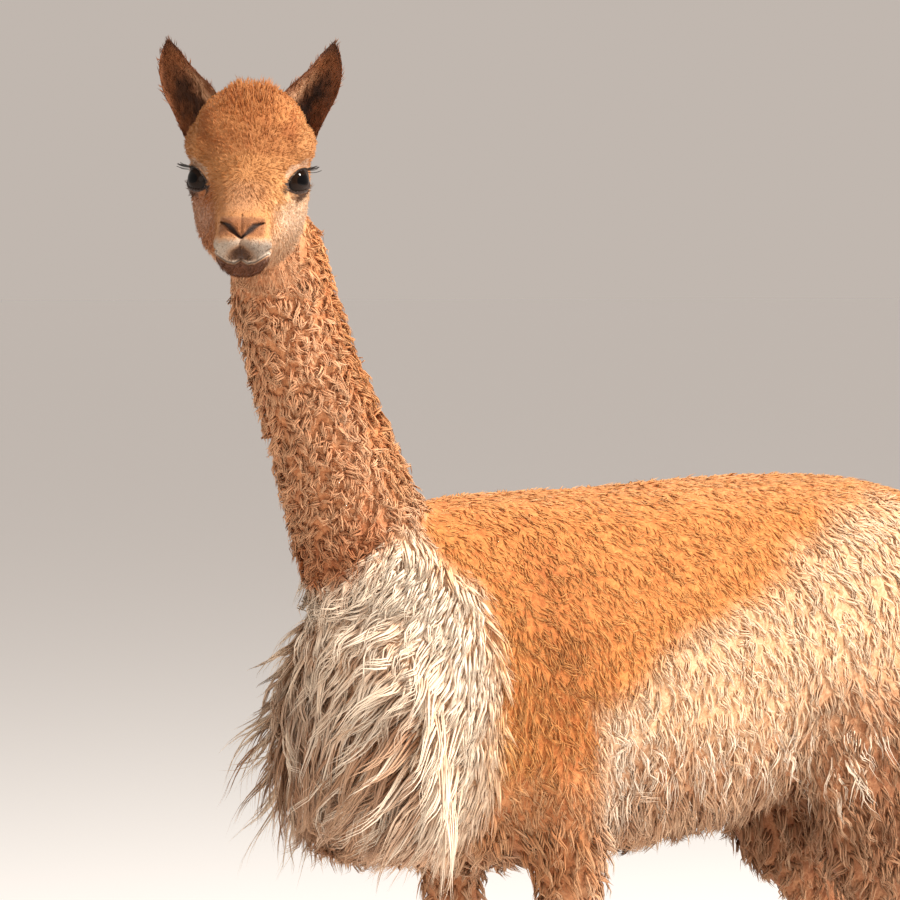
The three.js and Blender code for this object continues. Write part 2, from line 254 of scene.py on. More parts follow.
def ellipsoid(centre, reach, rows=24, sides=36):
    polar = np.linspace(0, np.pi, rows + 2)[1:-1, None]
    turn = np.linspace(0, 2 * np.pi, sides, endpoint=False)
    rings = np.stack([
        np.sin(polar) * np.cos(turn), np.sin(polar) * np.sin(turn), np.cos(polar) * np.ones(sides)], -1)
    verts, tris = closedTube(rings * reach + centre)
    verts[-2:] = np.array(centre) + np.array([[0, 0, reach[2]], [0, 0, -reach[2]]])
    return verts, tris


# The head's skin

headForm = {
    "rings": [  # place along the face, middle height, half width, rise, drop
        (97, 4, 12, 18, 20), (88, 6, 34, 49, 50), (58, 10, 53, 70, 84), (28, 12, 60, 71, 103),
        (2, 8, 57, 64, 101), (-22, -4, 47, 49.5, 82), (-48, -20, 36, 39.5, 57), (-74, -34, 30.5, 33, 44),
        (-98, -41, 27, 31, 33.5), (-114, -42, 23.6, 25, 26.5), (-121.5, -41, 13, 15, 15),
        (-123.6, -41, 4, 5, 5)],
    "between": 6, "sides": 72, "power": (3.0, 2.2), "browPlace": (40, 24, 30), "browReach": (26, 42, 25),
    "neck": [  # place in metres, half width, half depth
        ((-0.014, -0.4530, 1.203), 0.018, 0.016), ((-0.008, -0.4460, 1.180), 0.028, 0.027),
        ((-0.004, -0.4385, 1.150), 0.035, 0.038), ((0.002, -0.4320, 1.122), 0.039, 0.046),
        ((0.001, -0.4180, 1.068), 0.041, 0.050), ((0.000, -0.4040, 1.025), 0.024, 0.028)],
    "neckBetween": 5, "neckSides": 40, "neckTilt": 0.12, "voxel": 2.15, "relax": 6,
}
eyeSet = {
    "place": (43.5, -9.0, 0.0), "radius": 17.8, "facing": (0.765, -0.575, 0.29),
    "openNasal": 60.0, "openRear": 62.0, "openUp": 33.0, "openDown": 35.0, "lid": 1.7,
}
# Marks on the face are placed by width and by height as seen from the front, 18 degrees from above.
frontUp = np.array([0.0, 0.309, 0.951])
frontIn = np.array([0.0, 0.951, -0.309])
noseMarks = {  # lines on the muzzle: width, height, half width of the line
    "crease": [(0, -41, 0.8), (0, -48, 1.2), (0, -59, 2.0)],
    "nostril": [
        (21.5, -48.6, 0.7), (17.0, -50.2, 1.7), (12.5, -52.8, 3.2), (8.8, -56.6, 3.4), (4.8, -60.6, 1.9),
        (0.5, -64.5, 1.6)],
    "philtrum": [(0, -63, 1.9), (0, -74, 1.3), (0, -84, 1.7)],
    "mouth": [
        (0, -85.5, 1.8), (6.5, -89.3, 1.9), (14, -88.0, 1.9), (20, -84.5, 1.7), (24, -81.5, 1.3),
        (26.5, -79.5, 0.8)],
    "mouthSide": [(-112, -45, 1.6), (-96, -47.5, 1.6), (-82, -51, 1.3), (-72, -54, 0.9)],
}
faceLines = ("crease", "nostril", "philtrum", "mouth")


def profileRing(middle, across, up, reach, power, sides):
    # A rounded ring: its half width, its rise and its drop, and how square it is.
    angle = np.linspace(0, 2 * np.pi, sides, endpoint=False)
    fuller = lambda value: np.sign(value) * np.abs(value) ** (2 / power)
    rise = fuller(np.sin(angle))
    high = np.where(rise > 0, reach[1], reach[2]) * rise
    return middle + (reach[0] * fuller(np.cos(angle)))[:, None] * across + high[:, None] * up


def headShell():
    rows = catmullRom(headForm["rings"], headForm["between"])
    powers = np.linspace(*headForm["power"], len(rows))
    sideways, upward = np.eye(3)[0], np.eye(3)[2]
    rings = np.array([
        profileRing(np.array([0, y, z]), sideways, upward, reach, power, headForm["sides"])
        for (y, z, *reach), power in zip(rows, powers)])
    parts = [closedTube(rings)]
    for side in (1, -1):
        mirror = np.array([side, 1, 1])
        parts.append(ellipsoid(mirror * headForm["browPlace"], headForm["browReach"]))
        parts.append(ellipsoid(mirror * eyeSet["place"], [eyeSet["radius"] + eyeSet["lid"]] * 3))
    angle = np.linspace(0, 2 * np.pi, headForm["neckSides"], endpoint=False)
    stub = []
    for centre, wide, deep in headForm["neck"]:
        tilted = headForm["neckTilt"] * deep * np.sin(angle)
        stub.append(np.array(centre) + np.stack([wide * np.cos(angle), deep * np.sin(angle), tilted], 1))
    stub = catmullRom(np.array(stub).reshape(len(stub), -1), headForm["neckBetween"])
    stub = toHead(stub.reshape(-1, 3)).reshape(-1, headForm["neckSides"], 3)
    parts.append(closedTube(stub))
    return combined(parts)


def finer(verts, quads, chosen):
    # Splits the chosen faces in four and keeps the mesh closed.
    me = bpy.data.meshes.new("finer")
    me.from_pydata(verts.tolist(), [], quads.tolist())
    work = bmesh.new()
    work.from_mesh(me)
    work.faces.ensure_lookup_table()
    picked = [work.faces[i] for i in np.flatnonzero(chosen)]
    edges = {e for f in picked for e in f.edges}
    bmesh.ops.subdivide_edges(work, edges=list(edges), cuts=1, use_grid_fill=True)
    bmesh.ops.triangulate(work, faces=[f for f in work.faces if len(f.verts) != 4])
    work.to_mesh(me)
    work.free()
    found = np.array([v.co for v in me.vertices])
    four, three = ([p.vertices[:] for p in me.polygons if len(p.vertices) == size] for size in (4, 3))
    bpy.data.meshes.remove(me)
    return found, np.concatenate([halves(np.array(four)), np.array(three).reshape(-1, 3)])


def lineDistance(x, y, line):
    # Distance to a broken line over its own half width, least of all stretches, and 9 when far.
    best = np.full(x.shape, 9.0)
    for (ax, ay, aw), (bx, by, bw) in zip(line[:-1], line[1:]):
        dx, dy = bx - ax, by - ay
        t = np.clip(((x - ax) * dx + (y - ay) * dy) / (dx * dx + dy * dy), 0, 1)
        gap = np.hypot(x - ax - t * dx, y - ay - t * dy) / mixed(aw, bw, t)
        best = np.minimum(best, gap)
    return best


def eyeAxes(side):
    # The eye's facing, its direction towards the nose, and its top.
    face = unit(np.array(eyeSet["facing"]) * [side, 1, 1])
    nasal = unit(np.array([face[1] * side, -face[0] * side, 0]))
    nasal = nasal if nasal[0] * side < 0 else -nasal
    top = np.cross(face, nasal)
    return face, nasal, top if top[2] > 0 else -top


def eyeAngles(head, side):
    # Angles from the eye's facing: towards the nose, and up, with the distance from its middle.
    face, nasal, top = eyeAxes(side)
    away = head - np.array(eyeSet["place"]) * [side, 1, 1]
    far = np.linalg.norm(away, axis=1)
    d = away / np.maximum(far, 1e-6)[:, None]
    turn = np.degrees(np.arctan2(d @ nasal, d @ face))
    lift = np.degrees(np.arcsin(np.clip(d @ top, -1, 1)))
    return turn, lift, far


def eyeDistance(points):
    # How far each point lies from the middle of the nearer eye.
    return np.minimum(*[eyeAngles(points, side)[2] for side in (1, -1)])


def cornerDrop(turn):
    # How much lower the eye's opening lies towards its corners, in degrees.
    return 9 * smooth(5, 65, turn) - 4 * smooth(10, 60, -turn)


def eyeOpening(turn, lift):
    # Below 1 inside the lids.
    wide = np.where(turn > 0, eyeSet["openNasal"], eyeSet["openRear"])
    lift = lift + cornerDrop(turn)
    high = np.where(lift > 0, eyeSet["openUp"], eyeSet["openDown"])
    return (np.abs(turn / wide) ** 2 + np.abs(lift / high) ** 2) ** 0.5


def sculptFace(head):
    # head: points in the head's frame, in millimetres. Returns them moved.
    p = head.copy()
    fx, fv = p[:, 0], p @ frontUp  # fx follows what is done to p below, fv does not
    # muzzle: lobes of the upper lip, the nose pad and a chin set back
    front = smooth(-70, -96, p[:, 1])
    blob = lambda x, v, wide, high: bell(np.abs(fx), x, wide) * bell(fv, v, high)
    out = 4.2 * blob(12.5, -73, 10, 11) + 2.2 * blob(9, -48, 10, 7) + 1.5 * blob(20, -63, 7, 8)
    out -= 3.4 * blob(0, -95, 20, 8) + 1.8 * blob(17, -58, 5, 4)
    p -= frontIn * (out * front)[:, None]
    widened = 1.8 * bell(fv, -71, 10) - 1.6 * bell(fv, -52, 7)
    p[:, 0] += np.sign(fx) * front * widened * smooth(8, 20, np.abs(fx))
    # cheek hollow between muzzle and jaw, and a soft ridge under each eye
    hollow = bell(p[:, 1], -62, 22) * bell(p[:, 2], -34, 15)
    ridge = bell(p[:, 1], -38, 24) * bell(p[:, 2], -15, 8)
    p[:, 0] += np.sign(fx) * smooth(14, 30, np.abs(fx)) * (1.8 * ridge - 4.4 * hollow)
    # nose bridge: slightly raised and flat between the eyes
    bridge = bell(fx, 0, 17) * smooth(6, -20, p[:, 1]) * smooth(-104, -80, p[:, 1])
    p[:, 2] += 1.6 * bridge * smooth(-30, 5, p[:, 2] - 0.3 * p[:, 1])
    # creases, and a raised rim above each slit of the nostrils
    toLine = {name: lineDistance(np.abs(fx), fv, noseMarks[name]) for name in faceLines}
    deep = 1.6 * bell(toLine["crease"], 0, 1) + 7.5 * bell(toLine["nostril"], 0, 1, 4)
    deep += 2.4 * bell(toLine["philtrum"], 0, 1) + 4.2 * bell(toLine["mouth"], 0, 1)
    rim = bell(lineDistance(np.abs(fx), fv - 4.2, noseMarks["nostril"]), 0.2, 1.1) * smooth(4, 9, np.abs(fx))
    p += frontIn * ((deep - 1.5 * rim) * smooth(-82, -92, head[:, 1]))[:, None]
    gape = bell(lineDistance(head[:, 1], head[:, 2], noseMarks["mouthSide"]), 0, 1)
    p[:, 0] -= np.sign(fx) * 2.6 * gape * smooth(17, 22, np.abs(fx))
    # lids: the skin wraps the eye, and goes under it inside the opening
    radius = eyeSet["radius"]
    for sign in (1, -1):
        turn, lift, far = eyeAngles(head, sign)
        q = eyeOpening(turn, lift)
        lid = radius + eyeSet["lid"] + 1.8 * bell(q, 1.14, 0.12) * smooth(-5, 8, lift)
        crease = 1.5 * bell(q, 1.42, 0.09) * smooth(-12, 8, lift)
        below = 1.3 * bell(q, 1.5, 0.1) * smooth(4, -16, lift)
        around = mixed(lid, np.maximum(far, lid), smooth(1.05, 1.7, q)) - crease - below
        r = np.where(q < 1, mixed(radius - 2.6, lid, smooth(0.94, 1.0, q)), around)
        place = np.array(eyeSet["place"]) * [sign, 1, 1]
        d = (head - place) / np.maximum(far, 1e-6)[:, None]
        share = (q < 1.75) * smooth(105, 88, np.abs(turn)) * smooth(radius + 14, radius + 7, far)
        p = p + (place + d * r[:, None] - p) * share[:, None]
    return p


earForm = {
    "rows": [  # outer x, z, inner x, z, y, hollow
        (58, 6, 20, 50, 52, 9), (60, 13, 19, 58, 50, 10), (69, 34, 31.5, 75, 52, 15),
        (78.4, 53, 38.5, 83.5, 55, 18), (89, 75, 49, 91.5, 60, 16), (93, 96, 60, 102, 64, 11),
        (91, 112, 71, 115, 68, 6), (86, 124, 81.5, 125, 72, 1)],
    "spread": {1: -2, -1: 4}, "thick": 6.5, "columns": 22,
}


def earShell(sign):
    # A hollow leaf: front surface, rounded rim and back. Rows run from base to tip.
    rows = catmullRom(earForm["rows"], 7)
    share = np.linspace(0.015, 0.985, earForm["columns"])
    bow = 4 * share * (1 - share)
    rings = []
    for number, (outerX, outerZ, innerX, innerZ, y, hollow) in enumerate(rows):
        wall = earForm["thick"] * (0.22 + 0.78 * bow) * (1 - 0.5 * number / (len(rows) - 1))
        x, z = mixed(outerX, innerX, share), mixed(outerZ, innerZ, share)
        frontSide = np.stack([x, y + hollow * bow + 0.8, z], 1)
        rearSide = np.stack([x, y + 1.1 * hollow * bow + wall - 0.8, z], 1)
        rings.append(np.concatenate([frontSide, rearSide[::-1]]))
    return closedTube((np.array(rings) + [earForm["spread"][sign], 0, 0]) * [sign, 1, 1])


headVerts, headQuads = remeshed(*headShell(), headForm["voxel"])
hold = 0.85 * np.exp(-np.maximum(0, eyeDistance(headVerts) - 20) / 3)
headVerts = relaxed(headVerts, edgesOf(headQuads), headForm["relax"], hold=hold)
middle = headVerts[headQuads].mean(1)
eyeNear = (eyeDistance(middle) < 29) & (middle[:, 1] < 30)
muzzleNear = (middle[:, 1] < -84) & (middle[:, 2] < 6)
headVerts, headTris = finer(headVerts, headQuads, eyeNear | muzzleNear)
headVerts = sculptFace(relaxed(headVerts, edgesOf(headTris), 2, share=0.4))
print("head skin:", len(headTris), "triangles")

# The body's skin, from the solids themselves, drawn in by the depth of the coat

bodySet = {
    "voxel": 8.9 * mm, "relax": 22, "legVoxel": 4.3 * mm, "legRelax": 9, "legTop": 0.36, "swell": 0.6 * mm,
    "depth": {  # how deep the skin lies under the tips of the coat
        "trunk": 13, "neck": 10, "bib": 20, "tail": 12, "head": 12, "lower_jaw": 6, "ear_left": 3,
        "ear_right": 3, "foreleg_left_upper": 11, "foreleg_right_upper": 11, "hindleg_left_upper": 13,
        "hindleg_right_upper": 13},
    "legDepth": {"upper": 7, "cannon": 2.6, "foot": 1.8},
}


def nodeArrays(name):
    return welded(*meshArrays(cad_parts[name].data))


cadParts = {n: nodeArrays(n) for n in fleshNodes}
cadVerts, cadTris = combined(cadParts.values())
cadLabel = np.repeat(np.arange(len(fleshNodes)), [len(cadParts[n][1]) for n in fleshNodes])
cadTree = BVHTree.FromPolygons(cadVerts.tolist(), cadTris.tolist())


def labelsOf(points):
    # The number of the flesh node that lies nearest to each point.
    return np.array([cadLabel[cadTree.find_nearest(p)[2]] for p in points.tolist()])


def swollen(verts, tris):
    return verts + pointNormals(verts, tris) * bodySet["swell"], tris


def drawnIn(names, voxel, relax, depthOf):
    # One shell round the named nodes, swollen so that the cuts between them close, then drawn in.
    verts, quads = remeshed(*combined([swollen(*cadParts[n]) for n in names]), voxel)
    edges = edgesOf(quads)
    verts = relaxed(verts, edges, relax)
    depth = np.array([depthOf(fleshNodes[i]) for i in labelsOf(verts)]) * mm
    depth = relaxed(depth[:, None], edges, 12, full=False)
    tris = halves(quads)
    normals = relaxed(pointNormals(verts, tris), edges, 6, full=False)
    return relaxed(verts - unit(normals) * depth, edges, 4), tris


notBody = ("head", "lower_jaw", "ear_left", "ear_right")
bodyNames = [n for n in fleshNodes if not n.endswith(("cannon", "foot")) and n not in notBody]
bodyVerts, bodyTris = drawnIn(
    bodyNames, bodySet["voxel"], bodySet["relax"], lambda n: bodySet["depth"].get(n, 9))
legNames = [n for n in fleshNodes if "leg_" in n]
legVerts, legTris = drawnIn(
    legNames, bodySet["legVoxel"], bodySet["legRelax"],
    lambda n: bodySet["legDepth"].get(n.rsplit("_", 1)[-1], 7))


def cutAbove(verts, tris, height):
    # Keeps the faces under a height, and closes the rims with a fan.
    keep = verts[tris][:, :, 2].max(1) < height
    tris = tris[keep]
    pairs = np.concatenate([tris[:, [0, 1]], tris[:, [1, 2]], tris[:, [2, 0]]])
    key = np.sort(pairs, 1)
    _, first, count = np.unique(key, axis=0, return_index=True, return_counts=True)
    rim = pairs[first[count == 1]]
    follow = dict(rim.tolist())
    caps, tops = [], []
    while follow:
        start, nextOne = follow.popitem()
        loop = [(start, nextOne)]
        while nextOne in follow:
            after = follow.pop(nextOne)
            loop.append((nextOne, after))
            nextOne = after
        top = len(verts) + len(tops)
        tops.append(verts[[a for a, b in loop]].mean(0) + [0, 0, 0.01])
        caps += [(b, a, top) for a, b in loop]
    if tops:
        verts, tris = np.concatenate([verts, tops]), np.concatenate([tris, np.array(caps)])
    used, back = np.unique(tris, return_inverse=True)
    return verts[used], back.reshape(-1, 3)


# the shells dive under one another: legs under the body, the neck's top under the head
diveDepth = 9 * mm * smooth(0.312, 0.356, legVerts[:, 2])
legVerts = legVerts - pointNormals(legVerts, legTris) * diveDepth[:, None]
legVerts, legTris = cutAbove(legVerts, legTris, bodySet["legTop"])
neckTop = bodyVerts * [0, 0, 1] + [0, -0.444, 0]
drawn = 0.2 * smooth(1.12, 1.155, bodyVerts[:, 2]) + 0.55 * smooth(1.145, 1.19, bodyVerts[:, 2])
bodyVerts = mixed(bodyVerts, neckTop, drawn[:, None])
print("body skin:", len(bodyTris), "triangles, legs:", len(legTris))

# parts of the skin by number: head, body, lower legs, left ear, right ear
skinParts = [(fromHead(headVerts), headTris), (bodyVerts, bodyTris), (legVerts, legTris)]
skinParts += [(fromHead(v), t) for v, t in (earShell(1), earShell(-1))]
partOf = np.repeat(np.arange(len(skinParts)), [len(v) for v, t in skinParts])
skinVerts, skinTris = combined(skinParts)
skinNormals = pointNormals(skinVerts, skinTris)
isTail = np.zeros(len(skinVerts), bool)
isTail[partOf == 1] = labelsOf(skinVerts[partOf == 1]) == fleshNodes.index("tail")

# Markings, with some painted shade, the same for skin and coat

# Middle line of the neck: height, and place along the body.
neckLine = np.array([
    (0.600, -0.200), (0.690, -0.246), (0.752, -0.284), (0.812, -0.315), (0.896, -0.348),
    (0.980, -0.384), (1.062, -0.412), (1.122, -0.430), (1.200, -0.440)])
markSet = {
    "flankLine": (-0.109, 0.634, 0.52, 0.820),   # place, height there, slope, highest
    "bibRear": (-0.232, 0.72, 0.6),   # place, height from which it leans forward, by how much
    "bandRear": -0.103, "bandLow": 0.40,
    "neckEdge": (-0.32, 0.80, 0.75, 0.742, 0.855),   # place, height there, slope, lowest, highest
}
maskNames = ("fawn", "tan", "ginger", "white", "dark")


def laid(marks, zone, tones):
    # Lays tones into the masks over a zone, where they are stronger than what is there.
    for name, tone in tones.items():
        marks[name] = np.maximum(marks[name], tone * zone)


def bibEdge(z):
    # Place along the body of the breast wool's rear edge.
    place, high, lean = markSet["bibRear"]
    return place - lean * np.maximum(0, z - high)


def intoBib(p):
    return bibEdge(p[:, 2]) - p[:, 1]


def aboveCollar(p):
    # Height over the ragged line where the neck's curls end.
    place, height, slope, low, high = markSet["neckEdge"]
    ragged = 0.014 * softNoise(p, 0.05, 8) + 0.006 * softNoise(p, 0.02, 10)
    return p[:, 2] - np.clip(height + slope * (p[:, 1] - place), low, high) + ragged


def bodyMarks(p):
    x, y, z = p.T
    wob = 0.020 * softNoise(p, 0.075, 3) + 0.009 * softNoise(p, 0.026, 4)
    speck = 0.5 + 0.5 * softNoise(p, 0.011, 7)
    # saddle, and the band from it down the shoulder to the foreleg
    y0, z0, slope, top = markSet["flankLine"]
    line = np.minimum(z0 + slope * (y - y0), top) - 0.9 * np.maximum(0, y - 0.36)
    behind = smooth(-0.022, 0.020, 0.8 * wob - intoBib(p))
    saddle = smooth(-0.022, 0.026, z - line + wob) * behind
    band = behind * smooth(0.018, -0.022, y - markSet["bandRear"] + wob)
    band *= smooth(markSet["bandLow"], markSet["bandLow"] + 0.07, z + wob)
    band *= np.maximum(smooth(0.05, 0.085, np.abs(x)), smooth(0.62, 0.70, z))
    cuff = band * smooth(0.60, 0.50, z + wob)
    shoulder = bell(y + 0.5 * wob, -0.15, 0.045) * smooth(0.84, 0.76, z)
    # neck and collar
    fromAxis = y - np.interp(z, *neckLine.T)
    above = aboveCollar(p)
    onNeck = smooth(-0.012, 0.014, above) * smooth(0.03, -0.01, fromAxis - 0.06)
    nape = smooth(-0.034, 0.030, fromAxis + wob * 0.8)
    collar = onNeck * smooth(0.075, 0.03, above) * smooth(-0.312, -0.352, y)
    besideCollar = onNeck * smooth(0.055, 0.02, above) * smooth(-0.345, -0.315, y)
    # breast, lower legs, thigh and lower flank
    breast = (1 - behind) * (1 - onNeck) * smooth(0.36, 0.44, z)
    legLow = smooth(0.47, 0.40, z + wob)
    thigh = smooth(0.70, 0.53, z + 0.5 * wob) * smooth(0.14, 0.26, y + wob) * smooth(0.46, 0.38, y)
    thigh = np.maximum(thigh, smooth(0.56, 0.47, z + wob) * (y > 0.05))
    shadedLowSide = (1 - breast) * (1 - band) * smooth(0.62, 0.53, z + wob) * smooth(0.36, 0.44, z)
    ochre = speck * smooth(0.1, 0.2, z)
    marks = {
        "fawn": mixed(np.maximum(saddle, band), nape, onNeck) * (1 - 0.25 * onNeck * smooth(0.98, 0.86, z)),
        "tan": onNeck * (1 - 0.5 * nape),
        "ginger": onNeck * (0.03 + 0.24 * speck * smooth(0.2, 1.0, nape) * smooth(0.86, 0.98, z)),
        "white": 0.95 * breast * (0.85 + 0.15 * softNoise(p, 0.03, 9)) * smooth(0.46, 0.56, z),
        "dark": 0.25 * smooth(0.10, 0.05, z),
    }
    laid(marks, collar, {"ginger": 0.30 + 0.65 * speck})
    laid(marks, cuff, {"ginger": 0.15 + 0.6 * speck})
    laid(marks, legLow, {"tan": 0.9, "ginger": 0.3 * ochre})
    # the thigh's tan and ochre are its colour; its dark is painted shade
    laid(marks, thigh, {"tan": 0.9, "ginger": 0.5 * ochre, "dark": 0.42 * smooth(0.30, 0.40, z)})
    laid(marks, smooth(0.30, 0.2, z), {"fawn": 0.55})
    laid(marks, saddle * smooth(0.85, 0.79, z), {"dark": 0.06})
    # low on the breast the wool is tan, partly its colour and partly painted shade between the forelegs
    laid(marks, breast * smooth(0.575, 0.49, z + 0.5 * wob), {"tan": 0.6, "ginger": 0.30})
    laid(marks, shoulder * (1 - breast), {"ginger": 0.32})
    # lower flank: tan in part, and darker with painted shade under the belly
    laid(marks, shadedLowSide, {"tan": 0.65, "ginger": 0.18 * speck, "dark": 0.08})
    marks["fawn"] *= (1 - 0.4 * cuff) * (1 - 0.16 * (1 - onNeck) * smooth(0.81, 0.86, z))
    marks["fawn"] *= 1 - 0.6 * besideCollar
    paleEdge = bell(y, markSet["bandRear"] + 0.03, 0.028) * smooth(0.66, 0.58, z) * smooth(0.44, 0.5, z)
    laid(marks, paleEdge, {"white": 0.8 * (1 - marks["fawn"])})
    return np.stack([marks[name] for name in maskNames], 1)


def headMarks(p):
    h = toHead(p)
    x, y, z = h.T
    wide, fv = np.abs(x), h @ frontUp
    wob = 3.0 * softNoise(h, 16, 11) + 1.5 * softNoise(h, 5, 12)
    # crown, bridge, cheeks and jaw; the side turned from the light has redder hair and is darker with painted
    # shade
    crown = smooth(-8, 26, fv + wob + 0.25 * y * (y < 0)) * smooth(-75, -45, y + wob) * smooth(62, 44, wide)
    shadedSide = smooth(20, 34, -x)
    leftLow = smooth(18, 34, x) * smooth(10, -10, fv)
    shadedRecess = bell(y, -66, 15) * bell(z, -30, 22) * smooth(16, 26, wide)
    bridge = bell(x, 0, 20) * smooth(0, -14, fv) * smooth(-46, -30, fv)
    cheek = smooth(-14, -34, fv + 0.25 * (58 - wide) + wob) * smooth(24, 40, wide) * smooth(78, 48, y)
    jaw = smooth(-20, -60, z + wob) * smooth(-108, -84, y) * smooth(82, 52, y)
    marks = {
        "fawn": (0.95 - 0.55 * smooth(34, 52, wide + wob) * smooth(10, -20, fv)) * smooth(-96, -78, fv + wob),
        "tan": 0.25 * bridge, "ginger": crown * (0.70 + 0.2 * softNoise(h, 9, 13)),
        "white": 0.16 * cheek * smooth(-66, -40, fv),
        "dark": 0.18 * smooth(-50, -20, fv) * smooth(66, 44, fv),
    }
    marks["fawn"] *= (1 - 0.16 * bridge) * (1 - 0.78 * np.maximum(cheek, jaw) * (1 - 0.7 * shadedSide))
    laid(marks, 1 - smooth(-60, -84, z), {"ginger": 0.42 * (1 - 0.85 * leftLow)})
    # painted shade: darker and redder on the side turned from the light
    laid(marks, shadedSide * smooth(20, -20, fv), {"ginger": 0.84 * smooth(-90, -70, y), "dark": 0.20})
    # painted shade in the hollow beside the muzzle, stronger on the side turned from the light
    laid(marks, shadedRecess, {"ginger": np.where(x < 0, 0.7, 0.3)})
    # the jaw is tan; its dark is painted shade under the head, stronger on the animal's left
    laid(marks, jaw, {"tan": 0.5, "dark": 0.11 + 0.10 * smooth(6, 24, x)})
    laid(marks, cheek, {"tan": 0.45})
    # muzzle: pale lip greyed with painted shade, dark patch in its middle, brown chin, nose pad, and lines
    # dark with painted shade
    front = smooth(-84, -94, y)
    mouthLine = np.array(noseMarks["mouth"])
    overMouth = fv - np.interp(wide, mouthLine[:, 0], mouthLine[:, 1])
    lip = front * smooth(-62, -72, fv + 0.5 * wob) * smooth(-1.6, -0.2, overMouth) * smooth(33, 27, wide)
    # painted shade greys the pale lip, less so at its edge over the mouth
    lipPaintedShade = (0.54 + 0.20 * smooth(-2, 10, x)) * (1 - 0.8 * bell(overMouth, 1.0, 1.1))
    patch = front * bell(x, 0, 15, 4) * smooth(-67, -75, fv + wob * 0.4 + 0.5 * wide)
    patch *= smooth(-87, -85, fv + 0.12 * wide)
    chin = smooth(-52, -76, y + wob) * smooth(-0.8, -2.6, overMouth) * smooth(-72, -78, fv)
    chin *= smooth(33, 22, wide + wob)
    pad = front * smooth(-40, -46, fv) * smooth(-68, -60, fv) * smooth(26, 20, wide)
    laid(marks, lip, {"white": 0.80 - 0.1 * softNoise(h, 3, 14), "dark": lipPaintedShade})
    laid(marks, patch, {"ginger": 0.7, "dark": 0.93})
    # the chin is brown, and its dark is partly painted shade under the lips, deepest just below the mouth
    laid(marks, chin, {"ginger": 1, "dark": 0.74 + 0.12 * smooth(-8, -2, overMouth)})
    marks["white"] *= 1 - np.maximum(patch, chin)
    toLine = {name: lineDistance(wide, fv, noseMarks[name]) for name in faceLines}
    # painted shade in the slits of the nostrils, the mouth line, the crease and the philtrum
    laid(marks, front, {"dark": bell(toLine["nostril"], 0, 0.95, 4) + 0.9 * bell(toLine["mouth"], 0, 0.8)})
    laid(marks, front, {"dark": 0.5 * bell(np.minimum(toLine["crease"], toLine["philtrum"]), 0, 1)})
    laid(marks, pad, {"tan": 0.4, "ginger": 0.70, "dark": 0.36})
    # eyes: dark rim and front corner, a paler upper lid, and a brown bag below that is partly painted shade
    # of the fold under the eye
    for sign in (1, -1):
        turn, lift, away = eyeAngles(h, sign)
        over = away - eyeSet["radius"]
        near = (over < 18) & (np.abs(turn) < 115)
        q = eyeOpening(turn, lift)
        under = 0.10 * smooth(0, -14, lift) * smooth(52, 34, turn)
        rim = smooth(1.15 + under, 1.06 + under, q)
        narrow = 5 - 3.5 * smooth(55, 84, turn)
        corner = bell(lift + 0.15 * (turn - 60), -10, narrow) * smooth(46, 56, turn) * smooth(84, 70, turn)
        lid = smooth(1.12, 1.2, q) * smooth(1.62, 1.5, q) * smooth(0, 14, lift) * near * smooth(9, 6, over)
        shadedBag = near * smooth(1.04, 1.2, q) * smooth(3.1 if sign > 0 else 2.5, 1.6, q) * smooth(-8, -22, lift)
        shadedBag *= smooth(62, 25, turn) * smooth(15, 7, over) * smooth(-98, -50, turn)
        laid(marks, near, {"dark": np.maximum(rim, 0.5 * corner)})
        laid(marks, lid, {"white": 0.26})
        # painted shade in the fold under the eye, on brownish hair
        laid(marks, shadedBag, {"dark": 0.86, "ginger": 0.65})
        marks["fawn"] *= 1 - 0.5 * lid
    return np.stack([marks[name] for name in maskNames], 1)


def earMarks(p, sign, inside):
    h = toHead(p)
    # each point's place on the leaf: across from the outer rim to the inner one, and up
    rows = catmullRom(earForm["rows"], 6)
    outer, inner = rows[:, [0, 1]], rows[:, [2, 3]]
    across = inner - outer
    rel = np.stack([h[:, 0] * sign - earForm["spread"][sign], h[:, 2]], 1)[:, None] - outer[None]
    share = np.einsum("ijk,jk->ij", rel, across) / (across**2).sum(1)
    gap = np.abs(rel[..., 0] * across[:, 1] - rel[..., 1] * across[:, 0]) / np.linalg.norm(across, axis=1)
    best = gap.argmin(1)
    share = np.clip(share[np.arange(len(best)), best], 0, 1)
    up = best / (len(rows) - 1)
    edge = smooth(0.30, 0.05, np.minimum(share * 1.1, 1 - share)) + smooth(0.72, 0.95, up)
    share = share + 0.10 * softNoise(h, 7, 15) + 0.05 * softNoise(h, 3, 16)
    hollow = inside * bell(share, 0.42, 0.24) * smooth(0.9, 0.45, up)
    paleHair = inside * bell(share, 0.76, 0.11) * smooth(0.75, 0.45, up) * smooth(0.0, 0.12, up)
    ginger = np.maximum(0.72 + 0.2 * edge - 0.4 * paleHair, 0.9 * inside * (1 - paleHair))
    # painted shade darkens the hollow; the inside, the rims and the tip are darker as well
    dark = 0.66 * hollow + inside * (0.28 if sign < 0 else 0.38) + 0.28 * smooth(0.7, 1.0, up)
    dark += 0.2 * edge - 0.35 * paleHair
    return np.stack([0.75 - 0.4 * hollow, 0.4 * paleHair, ginger, 0.1 * paleHair, dark], 1)


def neckRadius(p):
    return np.hypot(p[:, 0], p[:, 1] - np.interp(p[:, 2], *neckLine.T))


